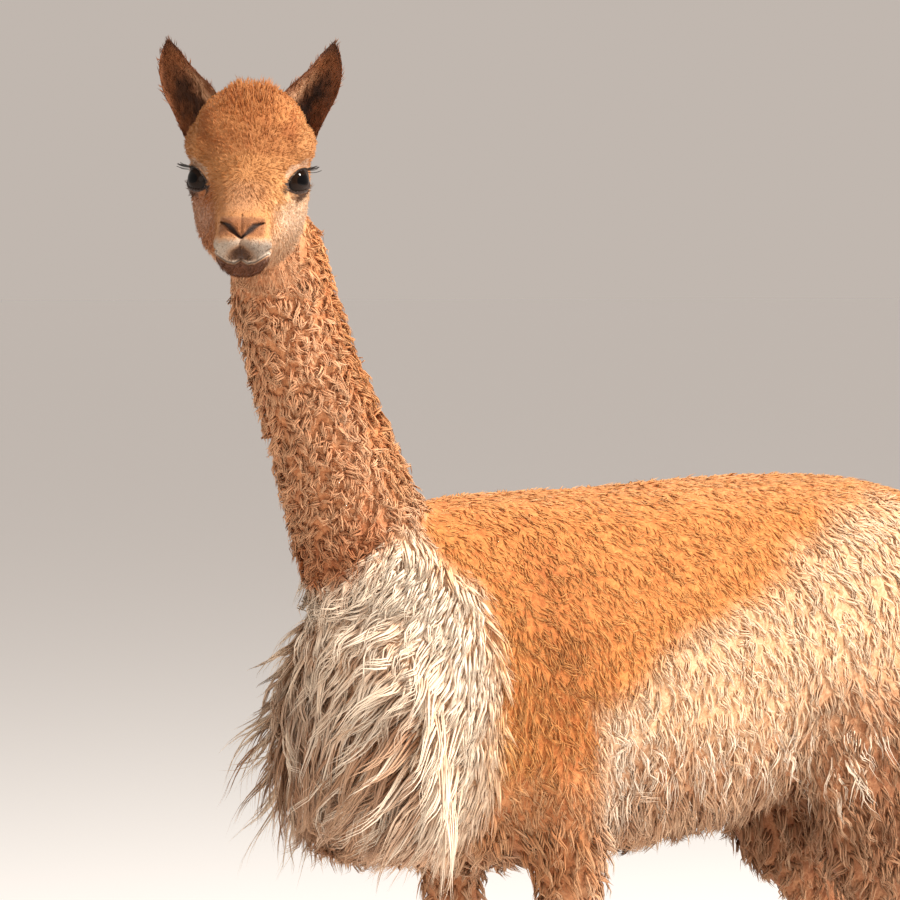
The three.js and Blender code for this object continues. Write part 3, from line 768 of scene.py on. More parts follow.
def marksOf(points, parts, normals):
    marks = np.zeros((len(points), len(maskNames)))
    for part in np.unique(parts):
        chosen = parts == part
        if part == 0:
            marks[chosen] = headMarks(points[chosen])
        elif part < 3:
            marks[chosen] = bodyMarks(points[chosen])
        else:
            inside = (normals[chosen] @ headMatrix[:3, 1] < 0).astype(float)
            marks[chosen] = earMarks(points[chosen], 1 if part == 3 else -1, inside)
    marks = np.clip(marks, 0, 1)
    # the head's colours run into the neck's, below and behind
    _, headY, headZ = toHead(points).T
    below = smooth(-60, -84, headZ) * smooth(-70, -40, headY)
    behind = smooth(20, 45, headY) * smooth(1.235, 1.185, points[:, 2])
    behind *= smooth(0.016, 0.0, neckRadius(points) - 0.056 - 0.016 * smooth(38, 56, headY))
    fade = (parts == 0) * np.maximum(below, behind)
    if fade.any():
        marks = mixed(marks, bodyMarks(points), fade[:, None])
    return np.clip(marks, 0, 1)


# Materials

palette = {  # as seen on screen, 0 to 255
    "cream": (249, 220, 188), "fawn": (230, 163, 96), "tan": (224, 171, 130), "ginger": (164, 88, 38),
    "white": (253, 234, 212), "dark": (50, 31, 22),
}


def screenColour(rgb):
    # From 0 to 255 as on a screen, to the linear colour that a shader takes.
    c = np.array(rgb) / 255
    linear = np.where(c <= 0.04045, c / 12.92, ((c + 0.055) / 1.055) ** 2.4)
    return (*linear.tolist(), 1.0)


def nodeTools(mat):
    mat.use_nodes = True
    tree = mat.node_tree
    shader = tree.nodes["Principled BSDF"]

    def add(kind, inputs=None, **options):
        node = tree.nodes.new(kind)
        for key, value in options.items():
            setattr(node, key, value)
        for key, value in (inputs or {}).items():
            if isinstance(value, bpy.types.NodeSocket):
                tree.links.new(value, node.inputs[key])
            else:
                node.inputs[key].default_value = value
        return node
    return tree, shader, add


def blended(add, a, b, share, how="MIX"):
    node = add("ShaderNodeMix", data_type="RGBA", blend_type=how)
    # a mix of colours takes its share at socket 0, and its colours at 6 and 7
    for socket, value in ((node.inputs[0], share), (node.inputs[6], a), (node.inputs[7], b)):
        if isinstance(value, bpy.types.NodeSocket):
            node.id_data.links.new(value, socket)
        else:
            socket.default_value = value
    return node.outputs[2]


def attribute(add, name):
    return add("ShaderNodeAttribute", attribute_name=name).outputs["Fac"]


def objectPlace(add):
    return add("ShaderNodeTexCoord").outputs["Object"]


def noise(add, vector, scale, detail, **more):
    inputs = {"Vector": vector, "Scale": scale, "Detail": detail, **more}
    return add("ShaderNodeTexNoise", inputs).outputs["Fac"]


def stretched(add, vector, scale):
    return add("ShaderNodeMapping", {"Vector": vector, "Scale": scale}).outputs["Vector"]


def scaled(add, value, low, high, outLow, outHigh):
    inputs = {"Value": value, "From Min": low, "From Max": high, "To Min": outLow, "To Max": outHigh}
    return add("ShaderNodeMapRange", inputs).outputs["Result"]


def shaded(add, colour, value, low, high, outLow, outHigh):
    # The colour times a grey level that runs from outLow to outHigh.
    level = scaled(add, value, low, high, outLow, outHigh)
    grey = add("ShaderNodeCombineColor", {"Red": level, "Green": level, "Blue": level})
    return blended(add, colour, grey.outputs["Color"], 1.0, "MULTIPLY")


def relief(add, height, strength, distance):
    inputs = {"Height": height, "Strength": strength, "Distance": distance}
    return add("ShaderNodeBump", inputs).outputs["Normal"]


def markedColour(add):
    # The coat's colours, one over the other by their masks.
    colour = screenColour(palette["cream"])
    for name in maskNames:
        colour = blended(add, colour, screenColour(palette[name]), attribute(add, name))
    return colour


def coatMaterial(name, roots, sheen=0.1, rough=0.78, streak=0.1, uneven=0.12, paleFrom=0.7, bright=1.0):
    mat = bpy.data.materials.new(name)
    tree, shader, add = nodeTools(mat)
    colour = markedColour(add)
    # painted shade deep in the coat: the roots are darker, partly their own colour and partly painted shade,
    # and from paleFrom on a tuft has the full colour of its masks
    rootShadeColour = blended(add, colour, screenColour(roots), 1.0, "MULTIPLY")
    colour = blended(add, rootShadeColour, colour, scaled(add, attribute(add, "along"), 0.0, paleFrom, 0, 1))
    colour = shaded(
        add, colour, attribute(add, "tone"), 0, 1, bright * (1 - uneven), bright * (1 + 0.8 * uneven))
    # broad cloudy change over the fleece, and fine hair lines within each lock
    colour = shaded(add, colour, noise(add, objectPlace(add), 14.0, 3.0), 0.3, 0.7, 0.9, 1.09)
    lockMap = add("ShaderNodeUVMap", uv_map="lock").outputs["UV"]
    lines = noise(add, stretched(add, lockMap, (5.0, 0.7, 1.0)), 1.0, 2.0)
    colour = shaded(add, colour, lines, 0.3, 0.7, 1 - streak, 1 + streak)
    tree.links.new(colour, shader.inputs["Base Color"])
    tree.links.new(relief(add, lines, 0.5, 0.0012), shader.inputs["Normal"])
    shader.inputs["Roughness"].default_value = rough
    shader.inputs["Sheen Weight"].default_value = sheen
    shader.inputs["Sheen Roughness"].default_value = 0.45
    shader.inputs["Sheen Tint"].default_value = screenColour((255, 226, 190))
    shader.inputs["Specular IOR Level"].default_value = 0.18
    return mat


def skinMaterial():
    mat = bpy.data.materials.new("skinUnderwoolAndShade")
    tree, shader, add = nodeTools(mat)
    wool = attribute(add, "wool")
    curl = noise(add, objectPlace(add), 120.0, 3.0, Distortion=1.2)
    nap = noise(add, objectPlace(add), 900.0, 2.0)
    colour = shaded(add, markedColour(add), nap, 0.3, 0.7, 0.84, 1.1)
    # painted shade of the coat's depth: where the coat stands, the skin seen between the tufts is darkened,
    # patchy by curl
    curlShare = scaled(add, curl, 0.38, 0.68, 0, 1)
    under = blended(add, screenColour((200, 166, 140)), screenColour((240, 222, 204)), curlShare)
    colour = blended(add, colour, blended(add, (1, 1, 1, 1), under, wool), 1.0, "MULTIPLY")
    height = blended(add, nap, curl, scaled(add, wool, 0, 1, 0, 0.7))
    tree.links.new(colour, shader.inputs["Base Color"])
    tree.links.new(relief(add, height, 0.6, 0.004), shader.inputs["Normal"])
    tree.links.new(scaled(add, attribute(add, "moist"), 0, 1, 0.78, 0.32), shader.inputs["Roughness"])
    shader.inputs["Sheen Weight"].default_value = 0.08
    shader.inputs["Specular IOR Level"].default_value = 0.25
    return mat


def setAttribute(piece, name, values):
    layer = piece.data.attributes.new(name, "FLOAT", "POINT")
    layer.data.foreach_set("value", np.asarray(values, np.float32))


# Where tufts stand, and how they lie

triCorners = skinVerts[skinTris]
triMiddle = triCorners.mean(1)
across, alongBody, up = triMiddle.T
triSides = triCorners[:, 1:] - triCorners[:, :1]
skinArea = np.linalg.norm(np.cross(triSides[:, 0], triSides[:, 1]), axis=1) / 2
triPart = partOf[skinTris[:, 0]]
headMiddle = toHead(triMiddle)


def underOther(part, other, chosen):
    # Which of the chosen triangles of one part lie under the skin of another.
    tree = BVHTree.FromPolygons(skinVerts.tolist(), skinTris[triPart == other].tolist())
    under = np.zeros(len(skinTris), bool)
    for i in np.flatnonzero((triPart == part) & chosen):
        place, normal, _, far = tree.find_nearest(Vector(triMiddle[i]))
        under[i] = (Vector(triMiddle[i]) - place).dot(normal) < -max(0.0015, 0.7 * far) and far < 0.05
    return under


def rootsOn(share, spacing, seed):
    # Places on the chosen triangles, one to each small cell of space, and fewer where share is low.
    rng = np.random.default_rng(seed)
    weight = skinArea * share
    count = int(weight.sum() / spacing**2 * 5) + 1
    tri = rng.choice(len(weight), count, p=weight / weight.sum())
    a, b = np.sqrt(rng.random(count)), rng.random(count)
    mix = np.stack([1 - a, a * (1 - b), a * b], 1)
    corners = skinTris[tri]
    points = (skinVerts[corners] * mix[..., None]).sum(1)
    normals = unit((skinNormals[corners] * mix[..., None]).sum(1))
    size = spacing / np.sqrt(np.clip(share[tri], 0.05, None))
    level = np.round(np.log2(size / spacing) * 4).astype(int)
    cells = np.floor(points / (spacing * 2 ** (level / 4))[:, None]).astype(int)
    _, first = np.unique(np.column_stack([cells, level]), axis=0, return_index=True)
    return points[first], normals[first], triPart[tri[first]]


def alongSkin(direction, normals):
    return unit(direction - np.einsum("ij,ij->i", direction, normals)[:, None] * normals)


def bodyLie(p, n):
    # How the fleece lies: back and down on the body, down the neck and legs, forward over the breast.
    x, y, z = p.T
    top = np.clip(n[:, 2], 0, 1)
    v = np.stack([0.25 * np.sign(x) * top, 0.32 + 0.5 * top, np.full(len(p), -1.0)], 1)
    neck = smooth(-0.02, 0.03, aboveCollar(p)) * smooth(0.10, 0.04, y - np.interp(z, *neckLine.T))
    v = mixed(v, np.array([0, 0.38, -1]), neck[:, None])
    breast = smooth(-0.03, 0.03, intoBib(p)) * (1 - neck) * smooth(0.36, 0.42, z)
    forward = [-0.30 * np.sign(x), -0.2 - 1.0 * smooth(0, 0.11, intoBib(p)), np.full(len(p), -0.9)]
    v = mixed(v, np.stack(forward, 1), breast[:, None])
    v = mixed(v, np.array([0, 0.05, -1]), smooth(0.52, 0.42, z)[:, None])
    swirl = 0.35 * np.stack([softNoise(p, 0.09, k) for k in (21, 22, 23)], 1)
    swirl += (0.55 - 0.4 * breast)[:, None] * np.stack([softNoise(p, 0.018, k) for k in (24, 25, 26)], 1)
    return alongSkin(v + swirl, n)


def headLie(p, n):
    # Hair runs out from a whorl between the eyes, and back over the cheeks.
    h = toHead(p)
    nh = n @ headMatrix[:3, :3]
    whorl = np.array([0, -50, 20])
    out = unit(h - whorl)
    backward = np.array([0, 0.8, -0.35])
    far = smooth(25, 80, np.abs(h[:, 0]) * 0.6 + np.maximum(h[:, 1], 0))[:, None]
    muzzle = smooth(-60, -85, h[:, 1])[:, None]
    v = mixed(out, backward, 0.75 * far * (1 - muzzle))
    v = v + 0.22 * np.stack([softNoise(h, 9, k) for k in (31, 32, 33)], 1)
    return alongSkin(v, nh) @ headMatrix[:3, :3].T


# Tufts

def growTufts(roots, normals, lie, form, rng):
    # Each clump has a bent middle line, and its blades lean towards it. A blade is a three-sided spike.
    # Lengths are in metres. rise and settle are degrees off the skin at root and tip, gather is how far
    # the blades close up, stray how far clumps turn and own how far a single blade bends.
    count, blades, steps = len(roots), form["blades"], form["steps"]
    each = lambda key: np.broadcast_to(np.asarray(form[key], float), (count,))
    t = np.linspace(0, 1, steps + 1)
    length = each("length") * rng.uniform(1 - form["uneven"], 1 + form["uneven"], count)
    side = np.cross(normals, lie)
    turn = rng.normal(0, form["stray"], count)[:, None]
    lie = unit(lie * np.cos(turn) + side * np.sin(turn))
    side = np.cross(normals, lie)
    rise = np.radians(mixed(each("rise")[:, None], each("settle")[:, None], t[None] ** 0.7))
    heading = np.cos(rise)[..., None] * lie[:, None] + np.sin(rise)[..., None] * normals[:, None]
    heading = heading + (each("hang")[:, None] * t[None])[..., None] * np.array([0, 0, -1.0])
    heading = unit(heading) * (length / steps)[:, None, None]
    middle = np.concatenate([np.zeros((count, 1, 3)), np.cumsum(heading[:, :-1], 1)], 1)
    phase = rng.uniform(0, 2 * np.pi, count)[:, None]
    waves = (each("waves") * rng.uniform(0.75, 1.25, count))[:, None] * t[None]
    swing = (each("curl") * rng.uniform(0.5, 1.3, count))[:, None] * t[None] ** 0.8
    middle += (swing * np.sin(2 * np.pi * waves + phase))[..., None] * side[:, None]
    middle += (0.55 * swing * np.cos(2 * np.pi * waves + phase * 1.7))[..., None] * normals[:, None]
    # blades start around the clump's root, and each has a size and a bend of its own
    around = rng.uniform(0, 2 * np.pi, (count, blades))
    reach = form["spread"] * np.sqrt(rng.uniform(0, 1, (count, blades)))
    start = (np.cos(around) * reach)[..., None] * side[:, None]
    start += (np.sin(around) * reach)[..., None] * lie[:, None]
    gather = 1 - form["gather"] * t ** 0.9
    size = rng.uniform(0.72, 1.08, (count, blades))
    line = middle[:, None] * size[..., None, None] + start[:, :, None] * gather[:, None]
    line += rng.normal(0, form["own"], (count, blades, 1, 3)) * (t ** 1.2)[:, None]
    line += roots[:, None, None] - (normals * form["sink"])[:, None, None]
    # three points at each step of a blade and one at its tip
    total = count * blades
    line = line.reshape(total, steps + 1, 3)
    ahead = unit(np.gradient(line, axis=1))
    blunt = np.repeat(normals, blades, 0)[:, None]
    twist = rng.normal(0, form["twist"], total)[:, None, None]
    flat = unit(np.cross(blunt, ahead))
    out = unit(np.cross(ahead, flat))
    flat, out = flat * np.cos(twist) + out * np.sin(twist), out * np.cos(twist) - flat * np.sin(twist)
    width = np.repeat(each("width"), blades) * rng.uniform(0.7, 1.25, total) / 2
    shape = (0.62 + 0.38 * np.sin(np.pi * np.clip(t * 1.3, 0, 1))) * (1 - t ** form["taper"])
    half = width[:, None, None] * shape[None, :, None]
    ring = np.stack([line - flat * half, line + flat * half, line + out * half * form["thick"]], 2)[:, :-1]
    verts = np.concatenate([ring.reshape(total, steps * 3, 3), line[:, -1:]], 1)
    per = steps * 3 + 1
    k = np.arange(steps - 1)[:, None] * 3
    c = np.array([[0, 1], [1, 2], [2, 0]])
    quads = np.stack([k + c[:, 0], k + c[:, 1], k + 3 + c[:, 1], k + 3 + c[:, 0]], -1).reshape(-1, 4)
    last = (steps - 1) * 3
    tips = np.array([[last + a, last + b, per - 1] for a, b in c] + [[0, 2, 1]])
    first = (np.arange(total) * per)[:, None, None]
    if volumeOf(verts[0] - verts[0, 0], np.concatenate([halves(quads), tips])) < 0:
        quads, tips = quads[:, ::-1], tips[:, ::-1]
    return {
        "verts": verts.reshape(-1, 3), "quads": (quads + first).reshape(-1, 4),
        "tris": (tips + first).reshape(-1, 3), "per": per, "each": per * blades, "total": total,
        "along": np.tile(np.append(np.repeat(t[:-1], 3), 1.0), total),
        "across": np.tile(np.append(np.tile([0.0, 1.0, 0.5], steps), 0.5), total),
        "length": np.repeat(length, blades * per),
        "shade": np.repeat(rng.uniform(0, 1, count), blades) * 0.6 + 0.4 * rng.uniform(0, 1, total),
    }


def spreadOut(values):
    # Even steps over 0.02 to 0.97, in the order of the values.
    order = np.argsort(np.argsort(values, kind="stable"), kind="stable")
    return 0.02 + 0.95 * (order + 0.5) / len(values)


def unrolled(points, parts):
    # The skin opened flat: along the body or leg, and round it.
    x, y, z = points.T
    headX, headY, headZ = toHead(points).T
    if (parts == 0).all():
        return np.arctan2(headX, headZ + 12), headY - 0.5 * headZ
    if (parts >= 3).all():
        return headX, headZ
    if z.mean() < 0.5:
        legMiddle = np.where(y < 0.06, -0.14, 0.33)
        return z, np.arctan2(y - legMiddle, np.abs(x) - 0.085) + 7 * (x > 0)
    if y.max() < -0.2 and z.max() > 0.9:
        return z, np.arctan2(x, y - np.interp(z, *neckLine.T))
    return y, np.arctan2(x, z - 0.66)


def addMap(piece, name, values):
    corners = np.zeros(len(piece.data.loops), np.int32)
    piece.data.loops.foreach_get("vertex_index", corners)
    layer = piece.data.uv_layers.new(name=name)
    layer.uv.foreach_set("vector", values[corners].astype(np.float32).ravel())


coatSpent = {}
maskJitter = 0.07
bakePatch = 0.003


def coatPiece(name, share, form, material, lieOf=bodyLie, filterOf=None, tinted=None, seed=1):
    rng = np.random.default_rng(seed)
    points, normals, parts = rootsOn(share, form["spacing"], seed)
    if filterOf is not None:
        keep = filterOf(points, normals)
        points, normals, parts = points[keep], normals[keep], parts[keep]
    shape = {key: value(points, normals) if callable(value) else value for key, value in form.items()}
    tufts = growTufts(points, normals, lieOf(points, normals), shape, rng)
    piece = meshPiece(name, tufts["verts"], tufts["quads"], tufts["tris"])
    marks = marksOf(points, parts, normals)
    if tinted is not None:
        marks = tinted(points, marks)
    jitter = rng.normal(0, maskJitter, (len(points), 1)) * (marks > 0.04) * (marks < 0.96)
    marks = np.clip(marks + jitter, 0, 1)
    for number, mask in enumerate(maskNames):
        setAttribute(piece, mask, np.repeat(marks[:, number], tufts["each"]))
    setAttribute(piece, "along", tufts["along"])
    setAttribute(piece, "tone", np.repeat(tufts["shade"], tufts["per"]))
    # OFBake: one small patch for each blade, at its root's place on the skin opened flat
    u, v = unrolled(points, parts)
    home = np.stack([spreadOut(u), spreadOut(v)], 1).repeat(form["blades"], 0)
    home += rng.uniform(-0.004, 0.004, home.shape)
    patch = bakePatch * np.stack([tufts["across"], tufts["along"]], 1)
    addMap(piece, "OFBake", np.repeat(home, tufts["per"], 0) + patch)
    lock = np.stack([tufts["across"], tufts["along"] * tufts["length"] / 0.006], 1)
    lock += np.repeat(rng.uniform(0, 90, (tufts["total"], 2)), tufts["per"], 0)
    addMap(piece, "lock", lock)
    piece.data.uv_layers.active = piece.data.uv_layers["OFBake"]
    piece.data.materials.append(material)
    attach(piece, "root")
    coatSpent[name] = len(tufts["quads"]) * 2 + len(tufts["tris"])
    print("coat:", name, len(points), "clumps,", coatSpent[name], "triangles")


# The skin as a piece

skin = meshPiece("skin", skinVerts, tris=skinTris)
skinMarks = marksOf(skinVerts, partOf, skinNormals)
for number, mask in enumerate(maskNames):
    setAttribute(skin, mask, skinMarks[:, number])
woolShare = [0.8 * smooth(-60, -86, toHead(skinVerts)[:, 2]), 1.0, 0.5 * smooth(0.24, 0.34, skinVerts[:, 2])]
setAttribute(skin, "wool", sum((partOf == part) * share for part, share in enumerate(woolShare)))
setAttribute(skin, "moist", (partOf == 0) * smooth(0.93, 0.99, skinMarks[:, maskNames.index("dark")]))
skin.data.materials.append(skinMaterial())
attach(skin, "root")
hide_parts(*fleshNodes)
print("skin:", len(skinTris), "triangles")

# The coat, piece by piece

# each coat's roots colour darkens its tufts near the skin: partly their own colour, partly painted shade
woolMat = coatMaterial("fleece", roots=(226, 196, 168), streak=0.07, uneven=0.09, bright=0.86)
neckMat = coatMaterial("neckCurls", roots=(198, 156, 124), uneven=0.18)
bibMat = coatMaterial("breastLocks", rough=0.66, roots=(232, 200, 176), uneven=0.07, paleFrom=0.45)
bibUnderMat = coatMaterial("breastWool", roots=(246, 224, 204), uneven=0.06, paleFrom=0.6)
faceMat = coatMaterial("faceHair", sheen=0.06, roots=(232, 208, 186), streak=0.05, uneven=0.08)

covered = underOther(1, 0, up > 1.0) | underOther(0, 1, up < 1.2)
covered |= underOther(2, 1, up > 0.3) | underOther(1, 2, up < 0.37)
# the part of the head's shell that belongs to the neck has the neck's curls
neckStub = (triPart == 0) & ~covered & (headMiddle[:, 1] > 30)
neckStub &= neckRadius(triMiddle) < 0.062 + 0.018 * smooth(38, 56, headMiddle[:, 1])
neckStub &= up < 1.172 + 0.030 * smooth(34, 52, headMiddle[:, 1])
isBody = (triPart == 1) & ~covered | neckStub
print("skin under skin:", covered.sum(), "triangles, neck stub:", neckStub.sum())
ahead = intoBib(triMiddle)
overNape = alongBody - np.interp(up, *neckLine.T) - 0.06
onNeck = isBody * smooth(-0.008, 0.008, aboveCollar(triMiddle)) * smooth(0.015, -0.005, overNape)
onBib = isBody * smooth(-0.012, 0.012, ahead) * (1 - onNeck) * (up > 0.40)
onLegs = isBody * (up < 0.50) * (1 - onBib)
onTail = isTail[skinTris[:, 0]].astype(float)
onTrunk = isBody * (1 - onNeck) * (1 - onBib) * (up >= 0.50) * (1 - onTail)
onSaddle = onTrunk * smooth(0.35, 0.65, bodyMarks(triMiddle)[:, 0])
onFlank = onTrunk - onSaddle


def bellyShare(p, n):
    return smooth(-0.1, -0.7, n[:, 2]) * smooth(0.60, 0.50, p[:, 2])


def bandShare(p, n):
    return smooth(-0.06, -0.14, p[:, 1]) * smooth(0.78, 0.68, p[:, 2])


saddleSet = {
    "spacing": 0.0071, "blades": 3, "steps": 2, "length": lambda p, n: 0.015 + 0.006 * bandShare(p, n),
    "uneven": 0.3, "width": 0.0023, "spread": 0.0042, "gather": 0.4, "rise": 22, "settle": 0,
    "hang": 0.1, "waves": 0.8, "curl": 0.0014, "stray": 0.4, "own": 0.0011, "twist": 0.6, "taper": 1.7,
    "thick": 0.5, "sink": 0.002,
}
flankSet = {
    "spacing": 0.0110, "blades": 4, "steps": 3, "length": lambda p, n: 0.022 + 0.022 * bellyShare(p, n),
    "uneven": 0.25, "width": 0.0036, "spread": 0.0056, "gather": 0.5, "rise": 27, "settle": -4,
    "hang": lambda p, n: 0.2 + 0.8 * bellyShare(p, n), "waves": 1.2, "curl": 0.0030, "stray": 0.34,
    "own": 0.0012, "twist": 0.6, "taper": 1.8, "thick": 0.5, "sink": 0.002,
}
for side, sign in (("Left", 1), ("Right", -1)):
    half = across * sign > 0
    coatPiece("saddleFleece" + side, onSaddle * half, saddleSet, woolMat, seed=11 + sign)
    coatPiece("flankFleece" + side, onFlank * half, flankSet, woolMat, seed=21 + sign)


def nearHead(p):
    # 1 where the neck enters the head's skin, so that the curls run into the short hair there.
    return smooth(1.42, 1.08, np.linalg.norm((toHead(p) - [0, 25, -10]) / [62, 96, 96], axis=1))


neckSet = {
    "spacing": 0.0081, "blades": 6, "steps": 3, "length": lambda p, n: 0.0165 - 0.0085 * nearHead(p),
    "uneven": 0.4, "width": 0.0026, "spread": 0.0048, "gather": 0.7,
    "rise": lambda p, n: 60 - 38 * nearHead(p), "settle": lambda p, n: -20 + 22 * nearHead(p), "hang": 0.3,
    "waves": 0.9, "curl": 0.0036, "stray": 0.75, "own": 0.0009, "twist": 0.6, "taper": 1.8, "thick": 0.6,
    "sink": 0.0015,
}
for side, sign in (("Left", 1), ("Right", -1)):
    coatPiece("neckCurls" + side, onNeck * (across * sign > 0), neckSet, neckMat, seed=31 + sign)

bibSet = {
    "spacing": 0.0100, "blades": 5, "steps": 2, "uneven": 0.25, "width": 0.0050, "spread": 0.0070,
    "length": lambda p, n: 0.027 + 0.010 * smooth(0.10, 0.04, intoBib(p)), "gather": 0.45, "rise": 18,
    "settle": 2, "hang": 0.2, "waves": 0.8, "curl": 0.0018, "stray": 0.2, "own": 0.0012, "twist": 0.35,
    "taper": 1.5, "thick": 0.3, "sink": 0.002,
}


def shadedUnderwoolInFront(p, marks):
    # The wool between the long locks is brown in front, partly its colour and partly painted shade under the
    # locks, and pale beside the shoulder.
    front = smooth(0.06, 0.13, intoBib(p)) * smooth(0.80, 0.70, p[:, 2])
    return mixed(marks, [0.3, 0.6, 0.42, 0.0, 0.22], 0.8 * front[:, None])


coatPiece("breastWool", onBib, bibSet, bibUnderMat, tinted=shadedUnderwoolInFront, seed=41)


def lockLength(p, n):
    # Long over the breast, and short where it would reach the legs or the collar.
    room = 0.024 + 0.95 * np.maximum(0, p[:, 2] - 0.462 - 0.05 * smooth(-0.30, -0.37, p[:, 1]))
    inFront = smooth(0.0, 0.06, intoBib(p))
    return np.minimum(0.040 + (0.010 + 0.075 * smooth(0.76, 0.54, p[:, 2])) * inFront, room)


lockSet = {
    "spacing": 0.0150, "blades": 6, "steps": 7, "length": lockLength, "uneven": 0.3, "width": 0.0042,
    "spread": 0.0105, "gather": 0.93, "rise": lambda p, n: 12 + 20 * smooth(0.0, 0.06, intoBib(p)),
    "settle": -2, "hang": lambda p, n: 0.25 + 0.5 * smooth(0.62, 0.5, p[:, 2]), "waves": 1.1,
    "curl": lambda p, n: 0.004 + 0.006 * smooth(0.02, 0.09, intoBib(p)), "stray": 0.15, "own": 0.0010,
    "twist": 0.4, "taper": 1.15, "thick": 0.4, "sink": 0.003,
}
lockShare = onBib * (0.5 + 0.5 * smooth(0.03, 0.07, ahead) * smooth(0.14, 0.09, ahead)) * (ahead > 0)


def brownAndShadedLow(p, marks):
    # Low in front most locks are brown, partly their colour and partly painted shade low on the breast, and
    # some stay pale.
    low = smooth(0.72, 0.60, p[:, 2]) * smooth(0.055, 0.095, intoBib(p))
    some = smooth(0.85, 0.55, hashed(np.floor(p / 0.004), 17))
    return mixed(marks, [0.2, 0.6, 0.42, 0.0, 0.26], (0.9 * low * some)[:, None])


coatPiece("breastLocks", lockShare, lockSet, bibMat, tinted=brownAndShadedLow, seed=43)

# pale strands that hang over the lower edge of the flank
skirtSet = dict(
    lockSet, spacing=0.0220, blades=4, steps=6, length=0.050, width=0.0030, spread=0.008, rise=16, hang=0.6,
    waves=1.2, curl=0.006, stray=0.25)
skirtShare = onFlank * (up > 0.515) * (up < 0.60) * (skinNormals[skinTris[:, 0], 2] > -0.7)
skirtShare *= smooth(-0.10, -0.06, alongBody) * smooth(0.30, 0.24, alongBody)


def paleStrands(p, marks):
    return mixed(marks, [0.0, 0.1, 0.0, 0.85, 0.0], 0.8)


coatPiece("flankStrands", skirtShare, skirtSet, bibMat, tinted=paleStrands, seed=45)


def overShank(p):
    return smooth(0.22, 0.33, p[:, 2])


legWoolSet = {
    "spacing": 0.0120, "blades": 5, "steps": 3, "uneven": 0.3, "spread": 0.0055, "gather": 0.7,
    "length": lambda p, n: 0.008 + 0.006 * overShank(p) + 0.017 * smooth(0.33, 0.48, p[:, 2]),
    "width": lambda p, n: 0.0020 + 0.0014 * smooth(0.24, 0.40, p[:, 2]),
    "rise": lambda p, n: 22 + 20 * smooth(0.32, 0.46, p[:, 2]), "settle": 0, "hang": 0.25, "waves": 1.2,
    "curl": lambda p, n: 0.001 + 0.0028 * smooth(0.30, 0.44, p[:, 2]), "stray": 0.4, "own": 0.0010,
    "twist": 0.5, "taper": 1.8, "thick": 0.5, "sink": 0.0015,
}
shankSet = dict(
    legWoolSet, spacing=0.0062, blades=2, steps=2, length=lambda p, n: 0.010 + 0.005 * overShank(p),
    width=0.0017, spread=0.003, rise=lambda p, n: 20 + 8 * overShank(p), settle=5, hang=0.1, curl=0.0004,
    stray=0.25, own=0.0005, gather=0.2, sink=0.0008)
lowLegs = (triPart == 2) & ~covered & (up > 0.014) & (up < 0.352)
woolOnLegs = onLegs * (up > 0.315) + 0.6 * lowLegs * smooth(0.18, 0.33, up)
for name, rear in (("foreleg", False), ("hindleg", True)):
    place = (alongBody > 0.06) == rear
    coatPiece(name + "Wool", woolOnLegs * place, legWoolSet, woolMat, seed=51 + rear)
    coatPiece(name + "Hair", lowLegs * place, shankSet, woolMat, seed=56 + rear)

tailSet = dict(flankSet, spacing=0.0092, length=0.038, blades=5, hang=0.5, rise=30, settle=0)
coatPiece("tailWool", onTail, tailSet, woolMat, seed=61)


def faceLength(p, n):
    # Short on the muzzle, longer on the crown, under the jaw and behind it.
    h = toHead(p)
    fv = h @ frontUp
    size = 0.0076 + 0.008 * smooth(50, 80, fv) * smooth(34, 8, np.abs(h[:, 0])) * smooth(-40, 0, h[:, 1])
    size -= 0.0045 * smooth(-62, -90, h[:, 1])
    size += 0.006 * smooth(-30, -75, h[:, 2]) * smooth(-80, -40, h[:, 1])
    size += 0.0035 * smooth(-77, -83, fv) * smooth(-60, -80, h[:, 1])
    size += 0.012 * smooth(25, 70, h[:, 1]) * smooth(70, 25, h[:, 2])
    return size


def crownRise(p):
    return smooth(55, 84, toHead(p) @ frontUp) * smooth(40, 12, np.abs(toHead(p)[:, 0]))


faceSet = {
    "spacing": 0.0031, "blades": 2, "steps": 2, "length": faceLength, "uneven": 0.3,
    "width": lambda p, n: 0.00105 + 0.0009 * smooth(25, 70, toHead(p)[:, 1]), "spread": 0.0018, "gather": 0.2,
    "rise": lambda p, n: 20 + 30 * crownRise(p), "settle": lambda p, n: 7 + 34 * crownRise(p), "hang": 0.0,
    "waves": 0.5, "curl": 0.0003, "stray": 0.3, "own": 0.0004, "twist": 0.4, "taper": 1.6, "thick": 0.5,
    "sink": 0.0006,
}
crownSet = dict(faceSet, spacing=0.0035)


def hairyFace(p, n):
    # Bare places: the eyes, the nostrils, the rims of the lips.
    h = toHead(p)
    keep = np.ones(len(h), bool)
    for sign in (1, -1):
        turn, lift, far = eyeAngles(h, sign)
        keep &= ~((eyeOpening(turn, lift) < 1.22) & (far < eyeSet["radius"] + 12) & (np.abs(turn) < 120))
    fx, fv = np.abs(h[:, 0]), h @ frontUp
    for name, room in (("nostril", 1.35), ("mouth", 1.5), ("philtrum", 1.5)):
        keep &= ~((lineDistance(fx, fv, noseMarks[name]) < room) & (h[:, 1] < -84))
    return keep


onHead = (triPart == 0) & ~covered & ~neckStub
onFace = (onHead & (headMiddle[:, 1] < 10)).astype(float)
coatPiece("faceHair", onFace, faceSet, faceMat, lieOf=headLie, filterOf=hairyFace, seed=71)
coatPiece("crownHair", onHead - onFace, crownSet, faceMat, lieOf=headLie, seed=73)

